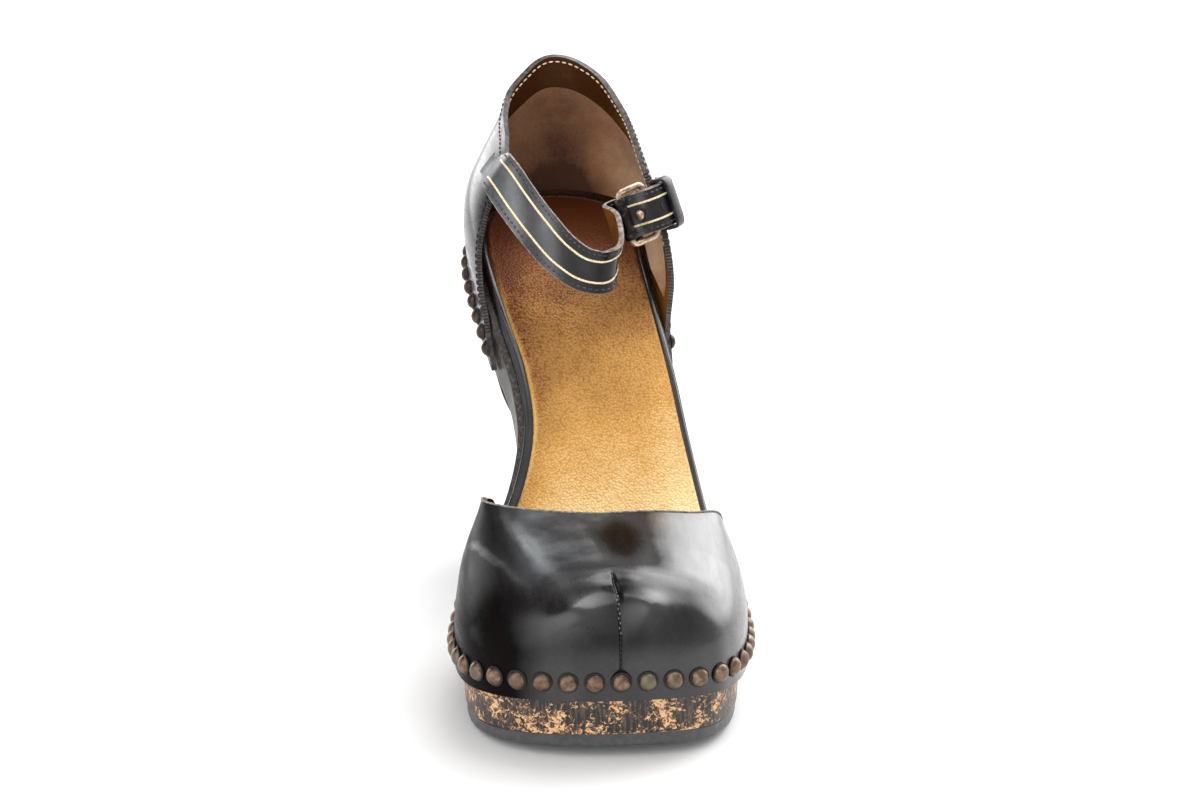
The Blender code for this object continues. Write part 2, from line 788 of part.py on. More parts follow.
def make_chape(material, collection, cutters):
    """Short strap sewn to the lateral wing, folded round the hinge bar with a slot for the prong."""
    inner = CHAPE_EYE
    outer = CHAPE_EYE + CHAPE_THICK
    total = WRAP_RADIUS * WRAP_TURN + CHAPE_TAIL
    runs = [total * k / 12 for k in range(13)]
    top = [wrap_path(run, outer)[:2] for run in runs]
    under = [wrap_path(run, inner)[:2] for run in runs]
    fold = [math.radians(90.0 + 200.0 * k / 10) for k in range(11)]
    outside = [(FRAME_RUN + outer * math.cos(a), outer * math.sin(a)) for a in fold[1:]]
    inside = [(FRAME_RUN + inner * math.cos(a), inner * math.sin(a)) for a in fold[1:]]
    loop = top[::-1] + outside + inside[::-1] + under
    curve = poly_curve("chape", [loop], dimensions="2D")
    curve.fill_mode = "BOTH"
    curve.extrude = STRAP_WIDTH / 2 * MM
    obj = bpy.data.objects.new("chape", curve)
    obj.matrix_world = buckle_matrix() @ Matrix.Rotation(math.pi / 2, 4, "X")
    collection.objects.link(obj)
    bpy.context.view_layer.update()
    chape = curve_to_mesh(obj, collection)
    chape.data.materials.append(material)
    reach = 2 * (outer + 1.0)
    cutter = box_cutter("chape_slot", (reach, CHAPE_SLOT, reach), (FRAME_RUN - 1.0, 0.0, 0.0), cutters)
    cut(chape, cutter)
    return chape


def on_counter(s, side, height, lift):
    """Place lifted off the outer face of the counter, and the way up the face there."""
    turn = turn_at(s)
    step = 0.5
    here = Vector(counter_point(turn, side, height))
    up = (Vector(counter_point(turn, side, height + step)) - here).normalized()
    along = (Vector(counter_point(turn_at(s + step), side, height)) - here).normalized()
    out = up.cross(along) if side == "lateral" else along.cross(up)
    return here - out.normalized() * lift, up


def strap_rows():
    """Middle line and width direction of the strap from its sewn end to its tail."""
    route = [on_counter(s, "medial", height, GAP + STRAP_THICK / 2) for s, height in STRAP_SEWN]
    for row in STRAP_ROUTE:
        values = list(row)
        route.append((Vector(values[:3]), Vector(values[3:])))
    columns = STRAP_ROUTE.dtype.names
    table = np.array([(*place, *wide) for place, wide in route], dtype=STRAP_ROUTE.dtype)
    places = np.array([tuple(place) for place, _ in route])
    run = np.concatenate(([0.0], np.cumsum(np.linalg.norm(np.diff(places, axis=0), axis=1))))
    rows = []
    for at in np.linspace(0.0, run[-1], STRAP_STEPS):
        values = [smooth(table, column, at, run) for column in columns]
        rows.append((Vector(values[:3]), Vector(values[3:])))
    _, up_axis, _ = buckle_axes()
    over = STRAP_OVER_HINGE
    for along, out in THROUGH_BUCKLE:
        rows.append((buckle_point(along, 0.0, out), up_axis))
    total = WRAP_RADIUS * WRAP_TURN + STRAP_TAIL
    for k in range(13):
        along, out, _ = wrap_path(total * k / 12, over)
        rows.append((buckle_point(along, 0.0, out), up_axis))
    return rows


def make_ankle_strap(material, collection, cutters):
    rows = strap_rows()
    rings = []
    for k, (place, wide) in enumerate(rows):
        ahead = (rows[min(k + 1, len(rows) - 1)][0] - rows[max(k - 1, 0)][0]).normalized()
        wide = (wide - ahead * wide.dot(ahead)).normalized()
        face = ahead.cross(wide)
        to_end = (rows[-1][0] - place).length
        half = STRAP_WIDTH / 2
        if to_end < half:
            half = max(math.sqrt(half**2 - (half - to_end) ** 2), TAIL_TIP * half)
        corners = ((-1, -1), (1, -1), (1, 1), (-1, 1))
        rings.append([place + wide * (a * half) + face * (b * STRAP_THICK / 2) for a, b in corners])
    strap = loft("ankle_strap", rings, material, collection, capped=(True, True))
    cutter = box_cutter("strap_hole", (STRAP_HOLE, CHAPE_SLOT, 12.0), (0.6 * FRAME_RUN, 0.0, 1.0), cutters)
    cut(strap, cutter)
    return strap


def make_keeper(material, collection):
    """Leather loop that holds the tail of the strap down on the chape."""
    low = CHAPE_EYE - GAP
    high = STRAP_OVER_HINGE + STRAP_THICK / 2 + EASE
    along, out, turned = wrap_path(KEEPER_AT, (low + high) / 2)
    half_out = (high - low + EASE) / 2
    half_up = STRAP_WIDTH / 2 + EASE
    bore = rounded_rectangle(half_up, half_out, 0.5, steps=2)
    body = rounded_rectangle(half_up + KEEPER_THICK, half_out + KEEPER_THICK, 1.2, steps=2)
    curve = poly_curve("keeper", [body, bore], dimensions="2D")
    curve.fill_mode = "BOTH"
    curve.extrude = KEEPER_WIDTH / 2 * MM
    obj = bpy.data.objects.new("keeper", curve)
    place = Matrix.Translation(Vector((along, 0.0, out)) * MM)
    heading = Matrix.Rotation(turned, 4, "Y")
    stand = Matrix(((0, 0, 1, 0), (1, 0, 0, 0), (0, 1, 0, 0), (0, 0, 0, 1)))
    obj.matrix_world = buckle_matrix() @ place @ heading @ stand
    collection.objects.link(obj)
    bpy.context.view_layer.update()
    keeper = curve_to_mesh(obj, collection)
    keeper.data.materials.append(material)
    return keeper


def main():
    clear_scene()
    shoe = make_collection("ankle_strap_heel")
    cutters = make_collection("cutters")
    finish = {name: make_material(name, *values) for name, values in FINISH.items()}
    make_outsole(finish["rubber"], shoe)
    make_wood_sole(finish["painted_wood"], shoe)
    make_heel(finish["painted_wood"], shoe)
    make_heel_lift(finish["rubber"], shoe)
    make_insole(finish["gold_leather"], shoe)
    make_vamp(finish["black_leather"], shoe)
    make_counter(finish["black_leather"], shoe)
    make_vamp_nails(finish["antique_brass"], shoe)
    make_buckle_frame(finish["antique_brass"], shoe)
    make_buckle_roller(finish["antique_brass"], shoe)
    make_buckle_prong(finish["antique_brass"], shoe)
    make_chape(finish["black_leather"], shoe, cutters)
    make_ankle_strap(finish["black_leather"], shoe, cutters)
    make_keeper(finish["black_leather"], shoe)


main()
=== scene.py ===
"""Looks of the ankle strap heel: leather, wood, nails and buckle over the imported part.

Shape code works in the shoe's own millimetres: x grows towards the outer side of the foot,
s is the distance back from the toe tip of the wood, z is the height over the floor.
"""

import logging
import math
from dataclasses import dataclass, field
from enum import Enum
from functools import cache, partial
from typing import Callable, Dict, List, Optional, Sequence, Tuple

import bpy
import numpy as np
from mathutils import Matrix, Vector


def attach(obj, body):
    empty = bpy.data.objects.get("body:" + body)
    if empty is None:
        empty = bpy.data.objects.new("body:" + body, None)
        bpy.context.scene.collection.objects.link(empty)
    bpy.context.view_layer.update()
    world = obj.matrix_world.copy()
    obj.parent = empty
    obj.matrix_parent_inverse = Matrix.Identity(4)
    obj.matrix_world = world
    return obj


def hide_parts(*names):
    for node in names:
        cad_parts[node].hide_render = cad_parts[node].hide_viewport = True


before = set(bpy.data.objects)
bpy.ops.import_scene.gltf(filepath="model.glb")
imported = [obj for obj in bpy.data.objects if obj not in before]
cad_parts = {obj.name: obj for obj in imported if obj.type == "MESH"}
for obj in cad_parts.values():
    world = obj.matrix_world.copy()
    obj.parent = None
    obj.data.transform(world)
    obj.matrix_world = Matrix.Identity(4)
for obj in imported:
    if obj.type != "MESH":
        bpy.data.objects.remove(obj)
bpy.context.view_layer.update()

LOG = logging.getLogger("ankle_strap_heel")
MM = 0.001
Array = np.ndarray
Piece = bpy.types.Object
Socket = bpy.types.NodeSocket
Point = Tuple[float, float, float]
Nail = Tuple[str, Array, Array]

# Outline of the wood from above: s, medial x, lateral x
OUTLINE = np.array([
    (0.0, 1.0, 1.0), (1.5, -16.0, 20.5), (5.0, -26.8, 29.5), (12.0, -36.8, 35.5), (22.0, -43.2, 40.0),
    (38.0, -46.3, 43.5), (58.0, -45.2, 45.0), (78.0, -41.0, 43.9), (95.0, -33.5, 40.6), (108.0, -26.8, 38.1),
    (122.0, -22.5, 35.4), (136.0, -23.5, 33.0), (152.0, -28.0, 30.0), (170.0, -31.8, 27.4), (186.0, -33.0, 26.2),
    (200.0, -31.0, 24.0), (211.0, -24.3, 18.2), (217.3, -13.8, 8.8), (219.6, -2.3, -2.3),
])

# Top of the insole along the foot: s, z
BED = np.array([
    (0.0, 34.5), (30.0, 31.0), (58.0, 30.0), (74.0, 32.3), (90.0, 40.8), (105.0, 53.0), (120.0, 67.0),
    (135.0, 81.5), (150.0, 94.5), (165.0, 105.0), (180.0, 112.5), (195.0, 117.5), (210.0, 121.0), (219.6, 122.8),
])

# Underside of the wood from the end of the outsole to the heel seat: s, z
ARCH = np.array([
    (88.0, 4.3), (96.0, 11.5), (104.0, 22.0), (114.0, 36.5), (126.0, 52.0), (138.0, 66.0), (150.0, 77.2),
])

# Heel from its lift to its seat: rise, width share, breast s, back s
HEEL = np.array([
    (0.0, 0.52, 182.0, 213.5), (0.25, 0.54, 179.5, 212.6), (0.50, 0.62, 174.0, 212.6),
    (0.70, 0.76, 166.5, 214.2), (0.86, 0.91, 158.0, 217.0), (1.0, 1.0, 152.0, 219.6),
])

# How far the counter stands out from the wood: height over the insole, medial, back, lateral
COUNTER_CUP = np.array([
    (-14.0, 2.3, 2.3, 2.3), (-4.0, 2.4, 2.4, 2.8), (6.0, 3.3, 3.8, 5.6), (16.0, 1.8, 5.0, 5.0),
    (26.0, -4.0, 4.4, 1.6), (35.0, -11.2, 2.6, -2.0), (54.0, -22.5, -1.5, -8.0),
])

# Top edge of the counter on each side: s, height over the insole
MEDIAL_EDGE = np.array([
    (149.0, -12.0), (155.0, -6.0), (158.0, 0.5), (161.0, 8.5), (164.5, 15.5), (168.5, 21.5), (173.0, 27.0),
    (179.0, 33.0), (190.0, 35.2), (200.0, 35.4), (206.0, 36.2), (212.0, 39.2), (217.0, 45.2), (219.6, 50.0),
])
LATERAL_EDGE = np.array([
    (149.0, -12.0), (153.0, -5.0), (157.0, 2.0), (161.0, 8.5), (165.0, 13.0), (168.5, 17.0), (172.0, 21.5),
    (175.5, 27.5), (180.0, 33.0), (190.0, 36.3), (200.0, 38.0), (206.0, 39.8), (212.0, 43.0), (217.0, 47.4),
    (219.6, 50.0),
])

# Strap from the medial wing to the buckle: middle line x, s, z and the way its width points
STRAP_ROUTE = np.array([
    (-24.6, 172.6, 143.4, 0.58, 0.26, 0.77), (-20.0, 163.6, 137.6, 0.57, 0.38, 0.73),
    (-13.0, 153.5, 129.6, 0.52, 0.36, 0.77), (-4.5, 144.2, 121.9, 0.36, 0.28, 0.88),
    (2.6, 139.2, 118.6, 0.20, 0.22, 0.95), (8.2, 138.2, 118.2, 0.10, 0.14, 0.97),
    (12.0, 141.4, 120.2, 0.16, -0.12, 0.97), (13.4, 146.8, 124.0, 0.18, -0.30, 0.93),
    (13.8, 152.0, 127.4, 0.02, -0.12, 0.97),
])

# Bulges and hollows beside the dart: amount in mm, x, width, way down from its top, width
DART_RELIEF = ((2.5, -13.5, 8.0, 19.0, 5.4), (2.4, 10.5, 5.5, 17.5, 5.0), (-1.3, -1.0, 16.0, 6.5, 4.6),
               (-0.8, 0.0, 4.0, 4.0, 6.0))
# Gloss beside the dart: amount, x, width, way down from its top, width
DART_GLOSS = ((0.42, -14.0, 8.0, 18.0, 5.0), (0.42, 10.5, 5.0, 16.5, 4.6), (-0.30, 0.0, 22.0, 9.0, 3.5),
              (-0.20, 0.0, 4.0, 13.0, 8.0), (-0.24, -2.0, 26.0, 27.0, 4.0))
# Folds along the medial side: rise in mm, x at s 40, slope, width, s of the middle, half length
FOLDS = ((0.7, 23.0, 0.20, 4.0, 42.0, 24.0), (-0.7, 29.5, 0.25, 3.5, 42.0, 24.0), (0.5, 36.0, 0.30, 3.5, 42.0, 24.0))
# Painted highlights as pale streaks over the medial folds: painted sheen, gloss, x at s 40, slope, width, s of the
# middle, half length
PAINTED_SHEEN_STREAKS = ((0.20, 0.36, 23.0, 0.20, 3.0, 50.0, 30.0), (0.16, 0.22, 34.0, 0.30, 2.6, 48.0, 26.0))


class Side(Enum):
    """Side of the foot, with the sign of its x."""

    MEDIAL = -1
    LATERAL = 1


def by_side(medial: object, lateral: object) -> Dict[Side, object]:
    """Field with a value for each side."""
    return field(default_factory=lambda: {Side.MEDIAL: medial, Side.LATERAL: lateral})


class Track:
    """Smooth curve through a short row of knots."""

    def __init__(self, knots: Array, values: Array) -> None:
        """Keeps the knots and the slope at each.

        Args:
            knots: rising places along the curve.
            values: the curve's value, or row of values, at each knot.
        """
        self.knots = np.asarray(knots, float)
        self.values = np.asarray(values, float)
        self.slopes = np.gradient(self.values, self.knots, axis=0)

    def __call__(self, at: Array) -> Array:
        """Reads the curve.

        Args:
            at: places along it, held to its ends.

        Returns:
            The values there.
        """
        at = np.clip(np.asarray(at, float), self.knots[0], self.knots[-1])
        left = np.clip(np.searchsorted(self.knots, at) - 1, 0, len(self.knots) - 2)
        step = self.knots[left + 1] - self.knots[left]
        t = (at - self.knots[left]) / step
        if self.values.ndim > 1:
            t, step = t[..., None], step[..., None]
        start = (1 + 2 * t) * (1 - t) ** 2 * self.values[left] + t * (1 - t) ** 2 * step * self.slopes[left]
        end = t**2 * (3 - 2 * t) * self.values[left + 1] - t**2 * (1 - t) * step * self.slopes[left + 1]
        return start + end


def bump(distance: Array, width: float) -> Array:
    """Soft round swelling, 1 at its middle and nothing a few widths away."""
    return np.exp(-((np.asarray(distance, float) / width) ** 2))


def ramp(share: Array) -> Array:
    """Share held between 0 and 1."""
    return np.clip(share, 0, 1)


def fade(way: Array) -> Array:
    """Soft step from 1 far before 0 to nothing far behind it."""
    return 1 / (1 + np.exp(way))


def unit(vectors: Array) -> Array:
    """Vectors along the last axis brought to length 1."""
    return vectors / np.maximum(np.linalg.norm(vectors, axis=-1, keepdims=True), 1e-9)


def square_to(vectors: Array, ahead: Array) -> Array:
    """Unit vectors turned square to the unit directions ahead."""
    return unit(vectors - ahead * np.sum(vectors * ahead, axis=-1, keepdims=True))


def length_along(path: Array) -> Array:
    """Length along a path up to each of its points."""
    return np.concatenate(([0.0], np.cumsum(np.linalg.norm(np.diff(path, axis=0), axis=1))))


def streak(x: Array, s: Array, start: float, slope: float, width: float, middle: float, reach: float) -> Array:
    """Soft slanting line along the medial side; its columns are those of FOLDS."""
    return bump(x + start + slope * (s - 40.0), width) * bump(s - middle, reach)


def beside_dart(table: Sequence[Sequence[float]], x: Array, down: Array) -> Array:
    """Sum of the soft spots of a table, by x and by the way down from the top of the dart."""
    return sum(amount * bump(x - at, wide) * bump(down - low, tall) for amount, at, wide, low, tall in table)


@dataclass
class Last:
    """Body of the shoe that every piece is built on."""

    length: float = 219.6
    s_mid: float = 110.0
    gap: float = 0.3
    cover: float = 2.3
    toe_spring: float = 5.0
    spring_end: float = 50.0
    spring_curve: float = 1.8
    outsole_thick: float = 4.0
    outsole_end: float = 88.0
    below_bed: float = 3.3
    seat_thick: float = 14.0
    nail_margin: float = 13.0
    heel_breast: float = 152.0

    def __post_init__(self) -> None:
        """Sets up the curves of the tables."""
        turns = np.arccos(1 - 2 * OUTLINE[:, 0] / self.length)
        self.outline = {side: Track(turns, OUTLINE[:, k]) for k, side in enumerate(Side, 1)}
        self.bed = Track(*BED.T)
        self.arch = Track(*ARCH.T)
        medial, self.cup_back, lateral = (Track(COUNTER_CUP[:, 0], COUNTER_CUP[:, k]) for k in (1, 2, 3))
        self.cup = {Side.MEDIAL: medial, Side.LATERAL: lateral}
        self.wing = {Side.MEDIAL: Track(*MEDIAL_EDGE.T), Side.LATERAL: Track(*LATERAL_EDGE.T)}

    def tread(self, s: Array) -> Array:
        """Height of the underside of the outsole."""
        return self.toe_spring * np.maximum(1 - np.maximum(s, 0) / self.spring_end, 0) ** self.spring_curve

    def wood_top(self, s: Array) -> Array:
        """Height of the top of the wood."""
        return self.bed(s) - self.below_bed

    def underside(self, s: Array) -> Array:
        """Height of the underside of the wood.

        Args:
            s: places along the foot.

        Returns:
            Heights of the platform, then the arch, then the heel seat.
        """
        seat = self.wood_top(s) - self.seat_thick
        platform = self.tread(s) + self.outsole_thick + self.gap
        arch = np.minimum(self.arch(s), seat)
        return np.where(s < self.outsole_end, platform, np.where(s < ARCH[-1, 0], arch, seat))

    def turn(self, s: Array) -> Array:
        """Angle round the outline, 0 at the toe and pi at the heel."""
        return np.arccos(1 - 2 * np.clip(s, 0, self.length) / self.length)

    def along(self, turn: Array) -> Array:
        """Distance back from the toe at an angle round the outline."""
        return self.length / 2 * (1 - np.cos(turn))

    def edge(self, turn: Array, side: Side, out: Array = 0.0) -> Tuple[Array, Array, Array, Array]:
        """Outline of the wood moved outwards.

        Args:
            turn: angles round the outline.
            side: side of the foot.
            out: distance outwards.

        Returns:
            x and s of the points, and x and s of the outward directions.
        """
        turn = np.asarray(turn, float)
        before, after = (np.clip(turn + small, 0, math.pi) for small in (-1e-3, 1e-3))
        track = self.outline[side]
        run_x = track(after) - track(before)
        at_end = (turn <= 1e-9) | (turn >= math.pi - 1e-9)
        run_s = np.where(at_end, 0.0, self.along(after) - self.along(before))
        normal = unit(np.stack((side.value * run_s, -side.value * run_x), axis=-1))
        nx, ns = normal[..., 0], normal[..., 1]
        return track(turn) + out * nx, self.along(turn) + out * ns, nx, ns

    def counter(self, turn: Array, side: Side, height: Array) -> Array:
        """Outer face of the counter.

        Args:
            turn: angles round the outline.
            side: side of the foot.
            height: heights over the insole.

        Returns:
            Points x, s, z.
        """
        x, s, nx, ns = self.edge(turn, side)
        cup = self.cup[side](height) * nx**2 + self.cup_back(height) * ns**2
        return np.stack(np.broadcast_arrays(x + cup * nx, s + cup * ns, self.bed(s) + height), axis=-1)

    def counter_out(self, turn: Array, side: Side, height: Array) -> Array:
        """Direction out of the counter's outer face.

        Args:
            turn: angles round the outline.
            side: side of the foot.
            height: heights over the insole.

        Returns:
            Unit directions x, s, z.
        """
        small = 2e-3
        turn = np.asarray(turn, float)
        rise = self.counter(turn, side, height + 0.1) - self.counter(turn, side, height - 0.1)
        inner = np.clip(turn, 0, math.pi - 2 * small)
        run = self.counter(inner + small, side, height) - self.counter(inner - small, side, height)
        return side.value * unit(np.cross(run, rise))

    def metres(self, points: Array) -> Array:
        """Shoe millimetres turned to metres of the part's frame."""
        return (np.asarray(points, float) - np.array((0.0, self.s_mid, 0.0))) * MM


LAST = Last()


# Modelling steps that the pieces share


def activate(obj: Optional[Piece] = None) -> None:
    """Leaves one object selected and active, or nothing selected.

    Args:
        obj: the object, if any.
    """
    bpy.ops.object.select_all(action="DESELECT")
    if obj is not None:
        bpy.context.view_layer.objects.active = obj
        obj.select_set(True)


def in_edit(obj: Piece, *steps: Callable[[], object]) -> None:
    """Runs edit-mode steps on the whole of one object.

    Args:
        obj: the object to edit.
        steps: calls made in order with everything selected.
    """
    activate(obj)
    bpy.ops.object.mode_set(mode="EDIT")
    bpy.ops.mesh.select_all(action="SELECT")
    for step in steps:
        step()
    bpy.ops.object.mode_set(mode="OBJECT")


SELECT_ALL = partial(bpy.ops.mesh.select_all, action="SELECT")
TURN_OUT = partial(bpy.ops.mesh.normals_make_consistent, inside=False)
MERGE = partial(bpy.ops.mesh.remove_doubles, threshold=2e-6)


def weld(obj: Piece) -> None:
    """Closes seams and poles and turns a closed skin outwards."""
    in_edit(obj, MERGE, TURN_OUT)


def close_ends(obj: Piece) -> None:
    """Welds a skin and caps its open ends.

    Args:
        obj: the skin.
    """
    weld(obj)

    def cap() -> None:
        """Fills each open ring of edges."""
        bpy.ops.mesh.select_all(action="DESELECT")
        bpy.ops.mesh.select_mode(type="EDGE")
        bpy.ops.mesh.select_non_manifold()
        bpy.ops.mesh.edge_face_add()

    in_edit(obj, cap, SELECT_ALL, TURN_OUT)


def modify(obj: Piece, kind: str, **settings: object) -> None:
    """Adds a modifier and applies it.

    Args:
        obj: the object to change.
        kind: the modifier's type.
        settings: its values.
    """
    modifier = obj.modifiers.new(kind.lower(), kind)
    for name, value in settings.items():
        setattr(modifier, name, value)
    activate(obj)
    bpy.ops.object.modifier_apply(modifier=modifier.name)


def rename(obj: Piece, name: str) -> Piece:
    """Names a piece and its mesh.

    Args:
        obj: the piece.
        name: its name.

    Returns:
        The piece.
    """
    obj.name = name
    obj.data.name = name
    return obj


def read(items: Sequence[object], key: str) -> Array:
    """Rows of three numbers of a mesh's points or faces.

    Args:
        items: the points or faces.
        key: the value to read.

    Returns:
        One row each.
    """
    flat = np.empty(len(items) * 3)
    items.foreach_get(key, flat)
    return flat.reshape(-1, 3)


def grid_net(name: str, net: Array, zones: Optional[Array] = None) -> Piece:
    """Grid primitive laid on a net of points.

    Args:
        name: name of the piece.
        net: points in shoe millimetres, rows by columns by 3.
        zones: material number of each column of faces.

    Returns:
        The new object.
    """
    rows, columns = net.shape[:2]
    activate()
    bpy.ops.mesh.primitive_grid_add(x_subdivisions=columns - 1, y_subdivisions=rows - 1, size=2.0)
    obj = rename(bpy.context.object, name)
    mesh = obj.data
    place = (read(mesh.vertices, "co") + 1) / 2
    column = np.rint(place[:, 0] * (columns - 1)).astype(int)
    row = np.rint(place[:, 1] * (rows - 1)).astype(int)
    mesh.vertices.foreach_set("co", LAST.metres(net[row, column]).ravel())
    if zones is not None:
        corners = np.empty(len(mesh.loops), np.int32)
        mesh.loops.foreach_get("vertex_index", corners)
        first = column[corners].reshape(-1, 4).min(axis=1)
        for _ in range(int(np.max(zones)) + 1):
            mesh.materials.append(None)
        mesh.polygons.foreach_set("material_index", np.asarray(zones, np.int32)[first])
    mesh.update()
    return obj


def round_back(medial: Array, lateral: Array, axis: int = 0) -> Array:
    """Line or net from the medial wing round the back to the lateral wing.

    Args:
        medial: points from the medial wing to the back.
        lateral: points from the lateral wing to the back.
        axis: the way round.

    Returns:
        Both, joined at the back.
    """
    return np.concatenate((medial, np.delete(np.flip(lateral, axis), 0, axis)), axis)


def pipe(line: Array, first: Array, second: Array, radius: Array, sides: int) -> Array:
    """Net of a round bar.

    Args:
        line: its middle line.
        first: a direction square to the line at each row.
        second: the other one.
        radius: its radius at each row.
        sides: number of its sides.

    Returns:
        The net, closed round the bar.
    """
    ring = np.linspace(0, 2 * math.pi, sides + 1)[None, :, None]
    return line[:, None] + radius * (np.cos(ring) * first[:, None] + np.sin(ring) * second[:, None])


def thicken(obj: Piece, wall: float) -> None:
    """Turns an open skin into a leather wall with its own material inside and on its cut edge.

    Args:
        obj: the skin, which is the outer face.
        wall: thickness in mm.
    """
    mesh = obj.data
    centres, normals = read(mesh.polygons, "center"), read(mesh.polygons, "normal")
    if np.sum((centres - centres.mean(axis=0)) * normals) < 0:
        in_edit(obj, bpy.ops.mesh.flip_normals)
    for _ in range(3):
        mesh.materials.append(None)
    modify(obj, "SOLIDIFY", thickness=wall * MM, offset=-1.0, use_even_offset=True, material_offset=1,
           material_offset_rim=2)


def mark(obj: Piece, name: str, rule: Callable[[Array, Array, Array], Array]) -> None:
    """Writes a value on each point of a piece for its finish to read.

    Args:
        obj: the piece.
        name: the value's name.
        rule: the value at x, s, z in shoe millimetres.
    """
    x, s, z = (read(obj.data.vertices, "co") / MM + np.array((0.0, LAST.s_mid, 0.0))).T
    values = np.broadcast_to(rule(x, s, z), x.shape).astype(np.float32)
    obj.data.attributes.new(name, "FLOAT", "POINT").data.foreach_set("value", values)


def copy_at(pattern: Piece, place: Matrix) -> Piece:
    """Copy of a small shape with a mesh of its own.

    Args:
        pattern: the shape, at the origin in metres.
        place: where the copy goes, in metres.

    Returns:
        The copy.
    """
    copy = pattern.copy()
    copy.data = pattern.data.copy()
    copy.data.transform(place)
    bpy.context.scene.collection.objects.link(copy)
    return copy


def scatter(name: str, pattern: Piece, places: Sequence[Matrix]) -> Piece:
    """Row of copies of one small shape, joined into one piece.

    Args:
        name: name of the piece.
        pattern: the shape, which is removed afterwards.
        places: where each copy goes, in metres.

    Returns:
        The joined piece.
    """
    copies = [copy_at(pattern, place) for place in places]
    activate(copies[0])
    for copy in copies:
        copy.select_set(True)
    bpy.ops.object.join()
    bpy.data.objects.remove(pattern, do_unlink=True)
    return rename(bpy.context.object, name)


def axes_at(point: Array, ahead: Array, up: Array) -> Matrix:
    """Place for a copy: its x along the run, its z out of the surface.

    Args:
        point: shoe millimetres.
        ahead: direction of the run.
        up: direction out of the surface.

    Returns:
        The matrix in metres.
    """
    run = Vector(ahead).normalized()
    out = Vector(up)
    out = (out - run * out.dot(run)).normalized()
    turn = Matrix((run, out.cross(run), out)).transposed().to_4x4()
    return Matrix.Translation(Vector(LAST.metres(np.asarray(point)))) @ turn


def squash(size: Sequence[float]) -> Callable[[], object]:
    """Edit-mode step that scales about the origin."""
    return partial(bpy.ops.transform.resize, value=tuple(size), center_override=(0.0, 0.0, 0.0))


def ball(segments: int, rings: int, size: Sequence[float], *before: Callable[[], object]) -> Piece:
    """Ball pressed to a size, at the origin.

    Args:
        segments: number of its sides.
        rings: number of its rings.
        size: half its size along each axis in mm.
        before: edit-mode steps on the round ball.

    Returns:
        The ball.
    """
    activate()
    bpy.ops.mesh.primitive_uv_sphere_add(segments=segments, ring_count=rings, radius=1.0)
    obj = bpy.context.object
    in_edit(obj, *before, SELECT_ALL, squash([amount * MM for amount in size]))
    return obj


def spaced(line: Array, out: Array, pitch: float) -> Tuple[Array, Array, Array]:
    """Points spaced evenly along a line.

    Args:
        line: points of the line.
        out: direction out of the surface at each.
        pitch: the spacing.

    Returns:
        The points, the directions of the run and the directions out.
    """
    run = length_along(line)
    count = max(int(run[-1] / pitch), 1)
    rows = np.arange(len(line))
    at = np.interp((np.arange(count) + 0.5) * run[-1] / count, run, rows)
    spots, away = (np.stack([np.interp(at, rows, table[:, k]) for k in range(3)], axis=1) for table in (line, out))
    return spots, np.gradient(spots, axis=0), away


# Finishes


def linear(code: str) -> Tuple[float, float, float, float]:
    """Colour of an sRGB hex code in linear light.

    Args:
        code: the hex code.

    Returns:
        Red, green and blue, with full alpha.
    """
    parts = [int(code[k : k + 2], 16) / 255 for k in (1, 3, 5)]
    red, green, blue = (c / 12.92 if c <= 0.04045 else ((c + 0.055) / 1.055) ** 2.4 for c in parts)
    return (red, green, blue, 1.0)


def per_metre(size: float) -> float:
    """Texture scale whose features are about this many millimetres across."""
    return 1000.0 / size


def add_node(
    tree: bpy.types.NodeTree,
    kind: str,
    inputs: Optional[Dict[object, object]] = None,
    stops: Sequence[Tuple[float, str]] = (),
    out: object = 0,
    **settings: object,
) -> Optional[Socket]:
    """Adds a shader node with its settings and links.

    Args:
        tree: the node tree.
        kind: the node's type, without the words that all types start with.
        inputs: a value or a socket to link for each input.
        stops: place and hex colour of each stop, on a colour ramp.
        out: name or number of the output that is wanted.
        settings: the node's own properties.

    Returns:
        That output, if the node has any.
    """
    node = tree.nodes.new("ShaderNode" + kind)
    for name, value in settings.items():
        setattr(node, name, value)
    for key, value in (inputs or {}).items():
        if isinstance(value, Socket):
            tree.links.new(value, node.inputs[key])
        else:
            node.inputs[key].default_value = value
    if stops:
        elements = node.color_ramp.elements
        while len(elements) < len(stops):
            elements.new(1.0)
        for element, (place, code) in zip(elements, stops):
            element.position = place
            element.color = linear(code)
    return node.outputs[out] if node.outputs else None


Inputs = Dict[str, object]
Adder = Callable[..., Socket]


@dataclass(frozen=True)
class Finish:
    """What a surface is made of and how it was made."""

    name: str

    def make(self) -> bpy.types.Material:
        """Builds the material.

        Returns:
            The new material.
        """
        material = bpy.data.materials.new(self.name)
        material.use_nodes = True
        material.node_tree.nodes.clear()
        node = partial(add_node, material.node_tree)
        node("OutputMaterial", {"Surface": node("BsdfPrincipled", self.surface(node))})
        return material

    def surface(self, node: Adder) -> Inputs:
        """Inputs of the shader; each finish has its own way."""
        raise NotImplementedError


